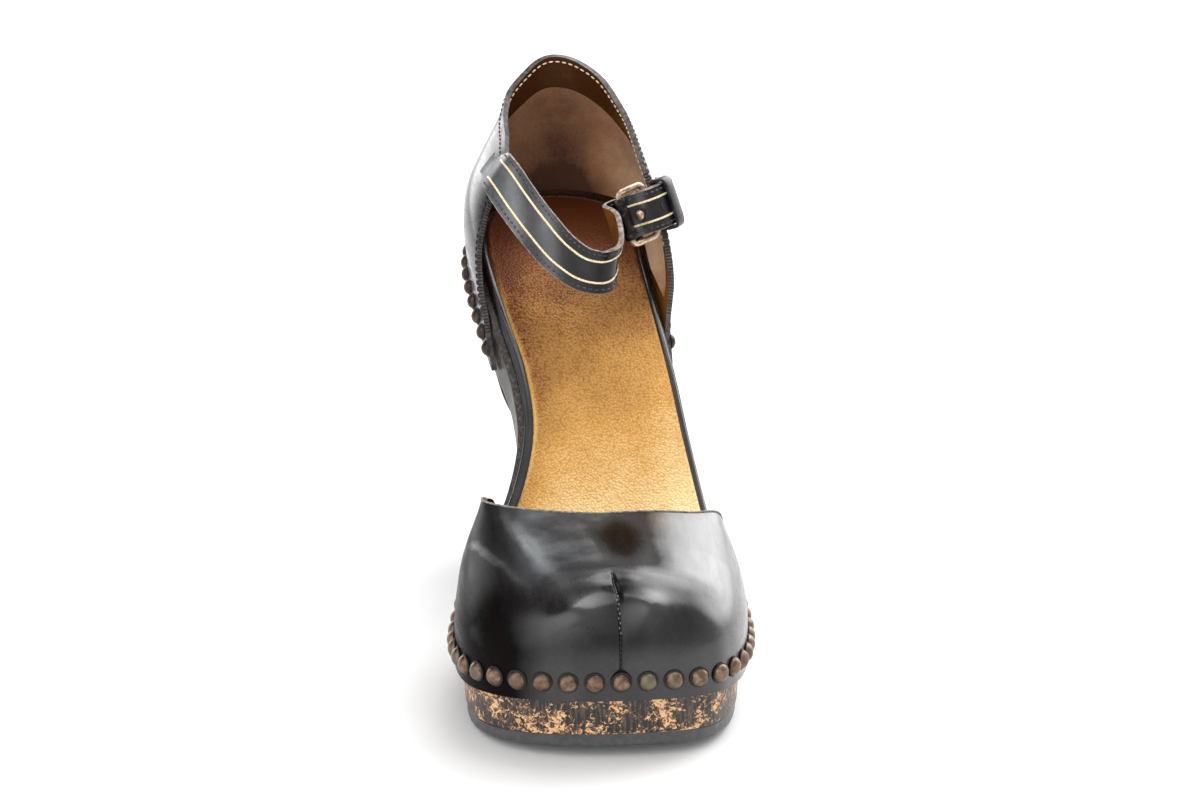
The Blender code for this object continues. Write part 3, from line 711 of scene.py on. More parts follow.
@dataclass(frozen=True)
class GlazedLeather(Finish):
    """Calf leather dyed black, waxed and burnished: near black, brushed gloss, pale painted highlights and
    reflections.
    """

    # Ramp stops: brown is reached only through painted shade, the two palest only through painted highlights and
    # reflections.
    brown: str = "#120c09"
    deep: str = "#0e0c0c"
    middle: str = "#1b1919"
    painted_sheen: str = "#393a3c"
    grey: str = "#707375"
    patina: float = 20.0
    brush: float = 3.2
    grain: float = 0.7
    rough: Tuple[float, float] = (0.17, 0.36)
    coat: float = 0.30
    coat_rough: float = 0.12

    def surface(self, node: Adder) -> Inputs:
        """Dye that clouds with painted light and shade from the piece's shade value, polish in strokes along the
        shoe, and a fine pore grain.

        Args:
            node: adds a node to the material.

        Returns:
            Inputs of the shader.
        """
        place = node("TexCoord", out="Object")
        cloud = node("TexNoise", {"Vector": place, "Scale": per_metre(self.patina), "Detail": 5.0, "Roughness": 0.62})
        shade, polish = (node("Attribute", attribute_name=name, out="Fac") for name in ("shade", "polish"))
        # The shade value moves the tone: up for painted highlights and reflections, down for painted shade.
        level = node("Math", {0: cloud, 1: 0.40, 2: shade}, operation="MULTIPLY_ADD")
        gloss = node("Math", {0: cloud, 1: 0.30, 2: polish}, operation="MULTIPLY_ADD")
        tone = node("ValToRGB", {"Fac": level}, [
            (0.0, self.brown), (0.08, self.deep), (0.25, self.middle), (0.50, self.painted_sheen), (0.70, self.grey)])
        shine = node("MapRange", {
            "Value": gloss, "From Min": -0.23, "From Max": 0.37, "To Min": 0.02, "To Max": 0.68})
        glaze = node("MapRange", {"Value": gloss, "From Min": -0.20, "From Max": 0.20, "To Max": self.coat})
        strokes = node("Mapping", {"Vector": place, "Scale": (1.0, 0.10, 1.0), "Rotation": (0.0, 0.0, 0.35)})
        brushed = node("TexNoise", {
            "Vector": strokes, "Scale": per_metre(self.brush), "Detail": 5.0, "Roughness": 0.65})
        rough = node("MapRange", {
            "Value": brushed, "From Min": 0.30, "From Max": 0.70, "To Min": self.rough[0], "To Max": self.rough[1]})
        pores = node("TexNoise", {"Vector": place, "Scale": per_metre(self.grain), "Detail": 3.0})
        waves = node("Bump", {"Height": brushed, "Strength": 0.10, "Distance": 0.0004})
        relief = node("Bump", {"Height": pores, "Strength": 0.12, "Distance": 0.00015, "Normal": waves})
        return {"Base Color": tone, "Roughness": rough, "Specular IOR Level": shine, "Normal": relief,
                "Coat Weight": glaze, "Coat Roughness": self.coat_rough}


@dataclass(frozen=True)
class GrainedLeather(Finish):
    """Leather or suede in three tones, printed or brushed grain and small pebbles; tones follow worn places, painted
    light and shade.
    """

    light: str
    middle: str
    dark: str
    cloud: float = 18.0
    mottle: float = 0.45
    grain: float = 0.9
    pit: float = 0.35
    rough: float = 0.55
    metal: float = 0.0
    fuzz: float = 0.0
    speckle: float = 0.10
    gloss: float = 0.25

    def surface(self, node: Adder) -> Inputs:
        """Tones by the value marked on the piece (worn places, painted light and painted shade), by cloud and by
        grain.

        Args:
            node: adds a node to the material.

        Returns:
            Inputs of the shader.
        """
        place = node("TexCoord", out="Object")
        wear = node("Attribute", attribute_name="wear", out="Fac")
        cloud = node("TexNoise", {"Vector": place, "Scale": per_metre(self.cloud), "Detail": 5.0, "Roughness": 0.6})
        pebble = node("TexVoronoi", {"Vector": place, "Scale": per_metre(self.grain)})
        haze = node("Math", {0: cloud, 1: self.mottle, 2: wear}, operation="MULTIPLY_ADD")
        level = node("Math", {0: pebble, 1: self.speckle, 2: haze}, operation="MULTIPLY_ADD")
        tone = node("ValToRGB", {"Fac": level}, [(0.20, self.light), (0.62, self.middle), (1.0, self.dark)])
        relief = node("Bump", {"Height": pebble, "Strength": self.pit, "Distance": 0.0003}, invert=True)
        return {"Base Color": tone, "Normal": relief, "Roughness": self.rough, "Metallic": self.metal,
                "Sheen Weight": self.fuzz, "Specular IOR Level": self.gloss}


@dataclass(frozen=True)
class RubbedWood(Finish):
    """Alder painted black, then rubbed through: satin black with torn flecks of orange-tan wood."""

    paint_dark: str = "#151312"
    paint_light: str = "#5a4c43"
    stain: str = "#3f2616"
    wood: str = "#b98153"
    bare: str = "#e6b988"
    fleck: float = 1.25
    scratch: float = 0.8
    cluster: float = 7.0
    worn: float = 0.508

    def surface(self, node: Adder) -> Inputs:
        """Paint in two blacks with scratches; flecks where a coarse and a torn fine noise both run high.

        Args:
            node: adds a node to the material.

        Returns:
            Inputs of the shader.
        """
        place = node("TexCoord", out="Object")
        wear = node("Attribute", attribute_name="wear", out="Fac")
        fine = node("TexNoise", {
            "Vector": place, "Scale": per_metre(self.fleck), "Detail": 6.0, "Roughness": 0.70, "Distortion": 0.8})
        coarse = node("TexNoise", {"Vector": place, "Scale": per_metre(self.cluster), "Detail": 2.0})
        part = node("Math", {0: fine, 1: 0.68, 2: wear}, operation="MULTIPLY_ADD")
        both = node("Math", {0: coarse, 1: 0.32, 2: part}, operation="MULTIPLY_ADD")
        worn = node("MapRange", {"Value": both, "From Min": self.worn, "From Max": self.worn + 0.07})
        flecks = node("ValToRGB", {"Fac": worn}, [
            (0.0, self.paint_dark), (0.25, self.stain), (0.50, self.wood), (0.95, self.bare)])
        hatch = node("Mapping", {"Vector": place, "Scale": (1.0, 1.0, 0.16), "Rotation": (0.0, 0.5, 0.0)})
        scratch = node("TexNoise", {"Vector": hatch, "Scale": per_metre(self.scratch), "Detail": 5.0})
        black = node("ValToRGB", {"Fac": scratch}, [(0.46, self.paint_dark), (0.72, self.paint_light)])
        depth = node("Math", {0: 1.0, 1: worn}, operation="SUBTRACT")
        return {
            "Base Color": node("MixRGB", {"Fac": worn, "Color1": black, "Color2": flecks}),
            "Roughness": node("MapRange", {"Value": worn, "To Min": 0.40, "To Max": 0.75}),
            "Normal": node("Bump", {"Height": depth, "Strength": 0.35, "Distance": 0.0003}),
        }


@dataclass(frozen=True)
class MottledSolid(Finish):
    """Moulded, dyed or spun stuff with a faint mottle: rubber, thread, edge dye."""

    dark: str
    light: str
    speck: float = 3.0
    rough: float = 0.7
    metal: float = 0.0
    relief: float = 0.2

    def surface(self, node: Adder) -> Inputs:
        """Two near tones and a matching roughness of surface.

        Args:
            node: adds a node to the material.

        Returns:
            Inputs of the shader.
        """
        place = node("TexCoord", out="Object")
        mottle = node("TexNoise", {"Vector": place, "Scale": per_metre(self.speck), "Detail": 4.0})
        tone = node("ValToRGB", {"Fac": mottle}, [(0.36, self.dark), (0.68, self.light)])
        relief = node("Bump", {"Height": mottle, "Strength": self.relief, "Distance": 0.0002})
        return {"Base Color": tone, "Normal": relief, "Roughness": self.rough, "Metallic": self.metal}


@dataclass(frozen=True)
class AgedBrass(Finish):
    """Pressed brass left to tarnish: brown-pink metal, brighter where it is rubbed, green in places."""

    tarnish: str = "#4b3a31"
    metal_tone: str = "#7a6453"
    rubbed: str = "#a98f7a"
    verdigris: str = "#686a58"
    spot: float = 2.6
    rough: float = 0.38

    def surface(self, node: Adder) -> Inputs:
        """Tarnish by cloud, and by an age that each piece carries.

        Args:
            node: adds a node to the material.

        Returns:
            Inputs of the shader.
        """
        place = node("TexCoord", out="Object")
        age = node("Attribute", attribute_name="age", out="Fac")
        cloud = node("TexNoise", {"Vector": place, "Scale": per_metre(self.spot), "Detail": 4.0, "Roughness": 0.65})
        tone = node("ValToRGB", {"Fac": cloud}, [(0.30, self.tarnish), (0.55, self.metal_tone), (0.80, self.rubbed)])
        green = node("MapRange", {"Value": age, "From Min": 0.80, "From Max": 1.0, "To Max": 0.65})
        skin = node("MixRGB", {"Fac": green, "Color1": tone, "Color2": linear(self.verdigris)})
        relief = node("Bump", {"Height": cloud, "Strength": 0.12, "Distance": 0.0002})
        return {"Base Color": skin, "Normal": relief, "Metallic": 0.9, "Roughness": self.rough}


class Stuff(Enum):
    """Every finish of the shoe."""

    LEATHER = GlazedLeather("calf_black_glazed")
    WAIST_LEATHER = GlazedLeather("calf_black_edge_binding", middle="#161415", painted_sheen="#262223")
    LINING = GrainedLeather("kid_bronze_lining", "#c08a48", "#8a5522", "#45260c", cloud=9.0, grain=0.9, pit=0.3,
                            rough=0.38, metal=0.3)
    GRIP = GrainedLeather("suede_taupe_heel_grip", "#d2ae8c", "#93694a", "#45291a", cloud=10.0, grain=0.6, pit=0.2,
                          rough=0.85, fuzz=0.12)
    GOLD = GrainedLeather("sheep_gold_foil_insole", "#efdaa6", "#c08f4c", "#5a2c0c", cloud=16.0, mottle=0.30,
                          grain=0.8, pit=0.44, speckle=0.20, rough=0.40, metal=0.45)
    WOOD = RubbedWood("alder_black_rubbed")
    HEEL_WOOD = RubbedWood("alder_black_heel", paint_light="#2f2a27", worn=0.60)
    RUBBER = MottledSolid("rubber_grey_moulded", "#3d3d3e", "#4d4d4e", speck=2.0, rough=0.42, relief=0.06)
    RAW_EDGE = MottledSolid("leather_cut_edge_grey", "#645a54", "#a59a91", speck=1.4, rough=0.7)
    DARK_EDGE = MottledSolid("leather_cut_edge_dyed", "#2b2827", "#625b59", speck=1.4, rough=0.45)
    BLACK_THREAD = MottledSolid("nylon_thread_black", "#0c0c0d", "#242427", speck=0.6, rough=0.5)
    CHARCOAL_THREAD = MottledSolid("nylon_thread_charcoal", "#1a191d", "#4c4a52", speck=0.9, rough=0.5)
    GOLD_THREAD = MottledSolid("gilt_thread", "#d8bd84", "#fbf0d4", speck=0.6, rough=0.4, metal=0.1)
    NAIL = AgedBrass("brass_nail_tarnished")
    COUNTER_NAIL = AgedBrass("brass_nail_blackened", "#271f1a", "#4a3b31", "#7a6453", "#3e3f36")
    # Dark pressed leather round the nails, partly painted contact shadow; also the painted shade of the strap's hole.
    NAIL_SEAT = MottledSolid("leather_pressed_dark_painted_shadow", "#080808", "#171514", speck=0.8, rough=0.6)
    BUCKLE = AgedBrass("brass_buckle_worn", "#6d5646", "#c3aa96", "#f3dfae", spot=2.4, rough=0.3)
    ROLLER = AgedBrass("brass_roller_blackened", "#0f0e0f", "#2b2828", "#7b6a58", spot=1.8, rough=0.42)
    FLOOR = MottledSolid("paper_white_matte", "#f3f3f3", "#f5f5f5", speck=40.0, relief=0.0, rough=0.9)


STRAP_LEATHERS = (Stuff.LEATHER, Stuff.LINING, Stuff.RAW_EDGE)


@cache
def material_of(stuff: Stuff) -> bpy.types.Material:
    """Material of a finish, made at its first use."""
    return stuff.value.make()


def dress(
    obj: Piece, stuffs: Sequence[Stuff], replaces: Sequence[str] = (), angle: float = 40.0
) -> None:
    """Gives a piece its materials, smooth shading and place on the part.

    Args:
        obj: the piece.
        stuffs: its finishes in the order of its material numbers.
        replaces: CAD nodes it stands for.
        angle: edges sharper than this many degrees stay sharp.
    """
    mesh = obj.data
    zones = np.zeros(len(mesh.polygons), np.int32)
    mesh.polygons.foreach_get("material_index", zones)
    mesh.materials.clear()
    for stuff in stuffs:
        mesh.materials.append(material_of(stuff))
    mesh.polygons.foreach_set("material_index", np.minimum(zones, len(stuffs) - 1))
    activate(obj)
    bpy.ops.object.shade_smooth_by_angle(angle=math.radians(angle))
    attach(obj, "root")
    if replaces:
        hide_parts(*replaces)
    LOG.info("%s: %d faces", obj.name, len(mesh.polygons))


def sew(name: str, places: Sequence[Matrix], length: float, radius: float, stuff: Stuff) -> None:
    """Row of stitches, each a short round of thread that dips into the leather at both ends.

    Args:
        name: name of the piece.
        places: where each stitch goes.
        length: length of a stitch in mm.
        radius: half its thickness in mm.
        stuff: the thread.
    """
    dress(scatter(name, ball(8, 6, (length / 2, radius, radius)), places), [stuff])


# Sole


@dataclass
class PlatformSole:
    """Wooden platform sole with its rubber outsole, its heel and the heel's lift."""

    stations: int = 150
    taper: float = 1.0
    wood_round: float = 1.0
    arch_round: float = 5.0
    top_round: float = 0.7
    outsole_inset: float = 0.6
    outsole_round: float = 1.2
    outsole_top_round: float = 0.3
    heel_inset: float = 0.4
    heel_pairs: int = 40
    heel_rises: int = 37
    lift_thick: float = 5.0
    lift_ease: Tuple[float, float] = (0.5, 0.3)
    most_round: float = 0.4

    def ring(
        self, turn: Array, out: float, taper: Array, top: Callable, bottom: Callable, low: Array, high: float
    ) -> Array:
        """Sections across a layer of the sole with rounded edges.

        Args:
            turn: angles round the outline, one section each.
            out: distance of the layer's edge outside the wood's outline.
            taper: how far its sides lean in.
            top: height of its top along the foot.
            bottom: height of its underside along the foot.
            low: radius of its lower edges.
            high: radius of its upper edges.

        Returns:
            Closed sections, one row each.
        """
        edges = {side: LAST.edge(turn, side, out)[:2] for side in Side}
        half = np.maximum((edges[Side.LATERAL][0] - edges[Side.MEDIAL][0]) / 2, 0)
        low, high, taper = (np.minimum(size, self.most_round * half) for size in (low, high, taper))
        arc = np.linspace(0, math.pi / 2, 5)
        columns = []
        for side in (Side.LATERAL, Side.MEDIAL):
            x, s = edges[side]
            roof, floor = top(s), bottom(s)
            line = [(high * (1 - np.sin(a)), roof - high * (1 - np.cos(a)) * (a > 0)) for a in arc]
            line += [(taper * k, (roof - high) + (floor + low - roof + high) * k) for k in np.linspace(0, 1, 9)[1:-1]]
            line += [(taper + low * (1 - np.cos(a)), floor + low * (1 - np.sin(a))) for a in arc]
            placed = [np.stack((x - side.value * d, s, z), axis=-1) for d, z in line]
            columns += placed if side is Side.LATERAL else placed[::-1]
        columns.append(columns[0])
        return np.stack(columns, axis=1)

    def wood(self) -> None:
        """Builds the wooden sole."""
        turn = np.linspace(0, math.pi, self.stations + 1)
        s = LAST.along(turn)
        share = ramp((s - LAST.outsole_end) / (LAST.heel_breast - LAST.outsole_end))
        low = self.wood_round + self.arch_round * np.sin(math.pi * share)
        taper = np.where(s < LAST.outsole_end, self.taper, 0.0)
        obj = grid_net(
            "platform_wood", self.ring(turn, 0.0, taper, LAST.wood_top, LAST.underside, low, self.top_round)
        )
        weld(obj)
        mark(obj, "wear", self.rubbed)
        dress(obj, [Stuff.WOOD], ["wood_sole"], angle=50)

    @staticmethod
    def rubbed(x: Array, s: Array, z: Array) -> Array:
        """How much the paint is rubbed: most round the toe, least at the medial waist and on top."""
        waist = bump(s - 132.0, 34.0) * bump(x + 26.0, 22.0)
        return 0.012 * bump(s, 60.0) - 0.10 * waist - 0.2 * (z > LAST.wood_top(s) - 0.9)

    def outsole(self) -> None:
        """Builds the rubber outsole."""
        turn = np.linspace(0, float(LAST.turn(LAST.outsole_end)), self.stations // 2)
        out = -self.taper - self.outsole_inset
        obj = grid_net("rubber_outsole", self.ring(
            turn, out, 0.0, lambda s: LAST.tread(s) + LAST.outsole_thick, LAST.tread, self.outsole_round,
            self.outsole_top_round))
        close_ends(obj)
        dress(obj, [Stuff.RUBBER], ["outsole"], angle=45)

    def heel_ring(self, rise: float, row: Array) -> Array:
        """Ring round the heel at one rise, from the medial breast round the back to the lateral breast.

        Args:
            rise: share of the way from the lift to the seat.
            row: width share, breast and back there.

        Returns:
            Points of the ring, closed across the breast.
        """
        width, breast, back = row
        start = float(LAST.turn(LAST.heel_breast))
        turn = np.linspace(start, math.pi, self.heel_pairs + 1)
        middle = float(LAST.outline[Side.MEDIAL](start) + LAST.outline[Side.LATERAL](start)) / 2
        base = self.lift_thick + LAST.gap
        sides = []
        for side in Side:
            x, s, _, _ = LAST.edge(turn, side, -self.heel_inset)
            seat = LAST.underside(s) - LAST.gap
            share = (s - LAST.heel_breast) / (LAST.length - LAST.heel_breast)
            ring_x, ring_s = middle + (x - middle) * width, breast + share * (back - breast)
            sides.append(np.stack((ring_x, ring_s, base + rise * (seat - base)), axis=-1))
        ring = np.concatenate((sides[0], sides[1][::-1]))
        return np.concatenate((ring, np.linspace(ring[-1], ring[0], 9)[1:]))

    def heel(self) -> None:
        """Builds the heel block, flared from its lift to its seat."""
        shape = Track(HEEL[:, 0], HEEL[:, 1:])
        rings = [self.heel_ring(rise, shape(rise)) for rise in np.linspace(0, 1, self.heel_rises)]
        net = np.stack([rings[0]] + rings + [rings[-1]])
        for end, near in ((0, 1), (-1, -2)):
            middle = net[near].mean(axis=0)
            net[end] = middle + (net[near] - middle) * 0.02
            net[end][:, 2] = net[near][:, 2]
        obj = grid_net("wood_heel", net)
        close_ends(obj)
        dress(obj, [Stuff.HEEL_WOOD], ["heel"], angle=50)

    def lift(self) -> None:
        """Builds the rubber heel lift with eased edges."""
        outline = self.heel_ring(0.0, HEEL[0, 1:])
        middle = outline.mean(axis=0)
        (foot, shoulder), high = self.lift_ease, self.lift_thick
        rows = []
        for z, inward in ((0.0, 0.98), (0.0, 0.04), (foot, 0.0), (high - shoulder, 0.0), (high, 0.02), (high, 0.98)):
            ring = outline + (middle - outline) * inward
            ring[:, 2] = z
            rows.append(ring)
        obj = grid_net("rubber_heel_lift", np.stack(rows))
        close_ends(obj)
        dress(obj, [Stuff.RUBBER], ["heel_lift"], angle=35)

    def build(self) -> None:
        """Builds the wood, the outsole, the heel and the lift."""
        for step in (self.wood, self.outsole, self.heel, self.lift):
            step()


@dataclass
class Insole:
    """Gold covered insole with a rolled black binding."""

    inset: float = 2.2
    overhang: Dict[Side, float] = by_side(0.0, 1.3)
    binding: Dict[Side, float] = by_side(3.2, 1.9)
    thick: float = 3.0
    curl: float = 1.3
    cover_thick: float = 1.0
    stations: int = 130
    across: int = 40

    def rim(self, turn: Array, side: Side, inward: Array) -> Array:
        """Line round the insole a distance in from its edge, at the height of the bed.

        Args:
            turn: angles round the outline.
            side: side of the foot.
            inward: distance in from the insole's edge.

        Returns:
            Points x, s, z.
        """
        waist = np.sin(turn) ** 2 * self.overhang[side]
        x, s, _, _ = LAST.edge(turn, side, waist - self.inset - inward)
        return np.stack((x, s, LAST.bed(s)), axis=-1)

    def width(self, turn: Array, side: Side) -> Array:
        """Width of the binding: full on the medial waist, narrower laterally."""
        narrow = self.binding[Side.LATERAL]
        return narrow + (self.binding[side] - narrow) * np.sin(turn) ** 2

    def cover(self) -> None:
        """Builds the gold cover, a little proud at its turned edge."""
        turn = np.linspace(0.02, math.pi - 0.02, self.stations)
        med, lat = (self.rim(turn, side, self.width(turn, side)) for side in Side)
        share = (1 - np.cos(np.linspace(0, math.pi, self.across))) / 2
        net = med[:, None] + (lat - med)[:, None] * share[None, :, None]
        span = np.linalg.norm(lat - med, axis=-1)[:, None]
        to_edge = np.minimum(share, 1 - share)[None, :] * span
        net[..., 2] = LAST.bed(net[..., 1]) + 0.15 * bump(to_edge - 1.0, 0.8) - 0.5 * bump(to_edge, 0.35)
        obj = grid_net("insole_gold_cover", net)
        if obj.data.polygons[len(obj.data.polygons) // 2].normal.z <= 0:
            in_edit(obj, bpy.ops.mesh.flip_normals)
        modify(obj, "SOLIDIFY", thickness=self.cover_thick * MM, offset=-1.0)
        # Tone of the foil with painted light and shade.
        mark(obj, "wear", self.wear)
        dress(obj, [Stuff.GOLD], ["insole"], angle=60)

    def wear(self, x: Array, s: Array, z: Array) -> Array:
        """Tone of the foil: browner towards the heel, painted shade in the heel cup and medially, painted light
        laterally.

        Args:
            x: places across the foot.
            s: places along the foot.
            z: heights, not used.

        Returns:
            The tone at each point, higher for darker.
        """
        turn = LAST.turn(s)
        medial, lateral = (LAST.outline[side](turn) for side in Side)
        back = ramp((s - 66.0) / 100.0)
        # Painted highlight along the turned medial edge.
        painted_edge_highlight = bump(x - medial - self.inset - self.width(turn, Side.MEDIAL) - 0.5, 0.8)
        # Browner towards the heel; the last term darkens the heel cup as painted shade.
        wear = -0.07 + 0.75 * back * (1.22 - 0.22 * back) + 0.24 * ramp((s - 168.0) / 46.0)
        # Painted shade along the medial edge.
        wear += 0.24 * (1 - 0.6 * back) * bump(x - medial - 5.0, 8.0)
        # Painted light at the lateral front and the painted highlight on the medial edge, both lightening.
        wear -= 0.16 * (1 - back) * bump(x - lateral + 5.0, 9.0) + 0.30 * painted_edge_highlight * np.sin(turn) ** 2
        return wear

    def edging(self) -> None:
        """Builds the black binding rolled round the edge of the insole board."""
        turn = np.linspace(0, math.pi, self.stations)
        lean = np.linspace(0, math.pi / 2, 9)
        outer = np.concatenate((np.zeros(2), self.curl * (1 - np.cos(lean))))
        drop = np.concatenate(((-self.thick, -1.6), 1.45 * np.sin(lean) - self.curl, (0.15, 0.1, -0.1, -0.8)))
        loops = []
        for side in Side:
            width = self.width(turn, side)[:, None]
            inner = self.curl + (width + 0.4 - self.curl) * np.linspace(0, 1, 4)[None, :]
            reach = np.concatenate((np.broadcast_to(outer, (len(turn), len(outer))), inner), axis=1)
            rows = [self.rim(turn, side, reach[:, k]) + np.array((0, 0, low)) for k, low in enumerate(drop)]
            loops.append(np.stack(rows, axis=1))
        obj = grid_net("insole_black_binding", np.concatenate((loops[0], loops[1][::-1])))
        weld(obj)
        dress(obj, [Stuff.WAIST_LEATHER], angle=60)

    def build(self) -> None:
        """Builds the cover and its binding."""
        self.cover()
        self.edging()


# Upper


@dataclass
class Vamp:
    """Nailed leather vamp, pinched by a dart at the toe."""

    columns: int = 300
    band_rows: int = 10
    dome_rows: int = 60
    stand: float = 0.8
    end: Dict[Side, float] = by_side(100.0, 91.0)
    shoulder: Dict[Side, float] = by_side(3.6, 3.0)
    bow: Dict[Side, Tuple[float, float]] = by_side((-64.0, -12.0), (34.0, -14.0))
    toe_shoulder: float = 2.3
    square_late: float = 3.0
    bow_late: float = 4.0
    dart_top: Tuple[float, float] = (20.0, 57.0)
    dart_end: float = 38.0
    throat: Tuple[float, float] = (72.0, 56.5)
    spine_curve: float = 1.6
    wall: float = 1.9
    corner_sink: float = 2.4
    welt_radius: float = 0.42
    stitch_up: Point = (0.0, -1.0, 0.4)

    def half(self, share: Array, side: Side) -> Array:
        """Ribs of one side from the nailed edge to the spine.

        Args:
            share: place of each rib from the toe to the throat.
            side: side of the foot.

        Returns:
            Points, one column for each rib.
        """
        turn = float(LAST.turn(self.end[side])) * share
        x, s, _, _ = LAST.edge(turn, side, LAST.cover)
        wood_s = LAST.along(turn)
        foot = LAST.bed(wood_s) - LAST.nail_margin
        base = LAST.wood_top(wood_s) + self.stand
        peak_s = self.dart_top[0] + (self.throat[0] - self.dart_top[0]) * share**self.spine_curve
        peak_z = self.dart_top[1] + (self.throat[1] - self.dart_top[1]) * share
        power = 2 / (self.toe_shoulder + (self.shoulder[side] - self.toe_shoulder) * share**self.square_late)
        bow_x, bow_s = (amount * share**self.bow_late for amount in self.bow[side])
        rows = [np.stack((x, s, foot + (base - foot) * k), axis=-1) for k in np.linspace(0, 1, self.band_rows)[:-1]]
        for step in np.linspace(0, 1, self.dome_rows):
            lean = math.pi / 2 * step
            along = np.ones_like(share) if step == 1 else 1 - max(math.cos(lean), 0.0) ** power
            up = math.sin(lean) ** power if step > 0 else np.zeros_like(share)
            swell = along * (1 - along)
            rows.append(np.stack((x * (1 - along) + bow_x * swell, s + (peak_s - s) * along + bow_s * swell,
                                  base + (peak_z - base) * up), axis=-1))
        return np.stack(rows)

    def relief(self, net: Array) -> Array:
        """Height of the dart, the folds that it pulls and the worn hollows over the smooth vamp.

        Args:
            net: points of the smooth vamp.

        Returns:
            Distance outwards at each point.
        """
        x, s, z = np.moveaxis(net, -1, 0)
        top_s, top_z = self.dart_top
        down = np.hypot(np.maximum(top_s - s, 0), top_z - z) - np.maximum(s - top_s, 0)
        seam = fade((s - 17.0) / 1.5) * fade((down - self.dart_end) / 1.0)
        middle = ramp(down / 12.0)
        lift = beside_dart(DART_RELIEF, x, down)
        lift -= (0.5 * bump(x - middle, 4.0) + 1.1 * bump(x - middle, 0.6)) * seam
        return lift + sum(rise * streak(x, s, *line) for rise, *line in FOLDS)

    def net(self) -> Array:
        """Points of the finished outer face.

        Returns:
            Rows from the nailed edge up, columns from the medial end to the lateral end.
        """
        share = np.linspace(0, 1, self.columns // 2 + 1)
        medial, lateral = (self.half(share, side) for side in Side)
        net = np.concatenate((medial[:, :0:-1], lateral), axis=1)
        out = unit((net - np.array((0.0, 45.0, 15.0))) * np.array((0.8, 1.0, 1.0)))
        net = net + out * self.relief(net)[..., None]
        x, s, z = np.moveaxis(net, -1, 0)
        corner = bump(x - 34.0, 14.0) * ramp((s - 45.0) / 35.0) * ramp((z - 34.0) / 10.0)
        net[..., 2] = z - self.corner_sink * corner
        return net

    def build(self) -> None:
        """Builds the vamp with its lining and cut edge, the stitched dart and the edge of the throat."""
        net = self.net()
        obj = grid_net("vamp_leather", net)
        in_edit(obj, MERGE)
        thicken(obj, self.wall)
        # Painted light and shade on the vamp, then its gloss.
        mark(obj, "shade", self.shade)
        mark(obj, "polish", self.polish)
        dress(obj, [Stuff.LEATHER, Stuff.WAIST_LEATHER, Stuff.DARK_EDGE], ["vamp"], angle=50)
        self.dart(net)
        self.welt(net)

    @staticmethod
    def shade(x: Array, s: Array, z: Array) -> Array:
        """Painted light on the vamp: pale top and dark patch as painted reflections, medial painted shade, highlight
        streaks.

        Args:
            x: places across the foot.
            s: places along the foot.
            z: heights, not used.

        Returns:
            The shade at each point.
        """
        # Painted reflection paling the top, painted dark reflection as the patch, painted shade down the medial side.
        top = bump(np.maximum(np.abs(x + 7.0) - 14.0, 0), 9.0) * fade((22.0 - s) / 2.0)
        patch = np.exp(-(((x - 5.5) / 6.5) ** 2 + ((s - 49.0) / 17.0) ** 2) ** 2)
        shade = 0.35 * top - 0.52 * patch - 0.14 * ramp((-26.0 - x) / 10.0)
        return shade + sum(painted_sheen * streak(x, s, *line) for painted_sheen, _, *line in PAINTED_SHEEN_STREAKS)

    def polish(self, x: Array, s: Array, z: Array) -> Array:
        """Gloss of the vamp: dull on top and down the medial side, bright on the bulges beside the dart.

        Args:
            x: places across the foot.
            s: places along the foot.
            z: heights.

        Returns:
            The gloss at each point.
        """
        down = np.hypot(np.maximum(self.dart_top[0] - s, 0), self.dart_top[1] - z)
        top = bump(np.maximum(np.abs(x + 4.0) - 17.0, 0), 9.0) * fade((23.0 - s) / 2.0)
        polish = -0.50 * top - 0.46 * ramp((-22.0 - x) / 12.0)
        polish += sum(gloss * streak(x, s, *line) for _, gloss, *line in PAINTED_SHEEN_STREAKS)
        polish += 0.12 * bump(x - 26.0, 14.0) * bump(z - 54.0, 10.0) + 0.10 * bump(x - 34.0, 10.0)
        toe = beside_dart(DART_GLOSS, x, down) + 0.08 * bump(z - 38.0, 8.0)
        toe -= 0.34 * bump(x - 25.0, 10.0) * bump(z - 48.0, 9.0)
        return polish + ramp((27.0 - s) / 6.0) * toe

    def welt(self, net: Array) -> None:
        """Builds the pale turned edge along the throat.

        Args:
            net: points of the vamp's outer face.
        """
        first_row = self.band_rows - 1
        line = np.concatenate((net[first_row:, 0], net[-2 : first_row - 1 : -1, -1]))
        line = line[np.concatenate(([True], np.linalg.norm(np.diff(line, axis=0), axis=1) > 1e-4))]
        ahead = unit(np.gradient(line, axis=0))
        out = square_to(unit((line - np.array((0.0, 60.0, 15.0))) * np.array((0.8, 0.3, 1.0))), ahead)
        obj = grid_net("throat_turned_edge", pipe(line, out, np.cross(ahead, out), self.welt_radius, 8))
        weld(obj)
        dress(obj, [Stuff.RAW_EDGE], angle=60)

    def dart(self, net: Array) -> None:
        """Builds the thread of the dart: a dark cord in the seam and light stitches at its top.

        Args:
            net: points of the vamp's outer face.
        """
        line = net[:, net.shape[1] // 2]
        line = line[line[:, 2] > 30.0]
        spots, ahead, up = spaced(line, np.broadcast_to(self.stitch_up, line.shape), 1.5)
        sew("dart_thread", [axes_at(*at) for at in zip(spots, ahead, up)], 1.9, 0.30, Stuff.BLACK_THREAD)
        worn = [axes_at(spot + (0.25 * (-1) ** k, -0.2, 0.1), run, out)
                for k, (spot, run, out) in enumerate(zip(spots, ahead, up)) if 42.0 < spot[2] < 53.0]
        sew("dart_worn_stitches", worn, 0.9, 0.20, Stuff.RAW_EDGE)


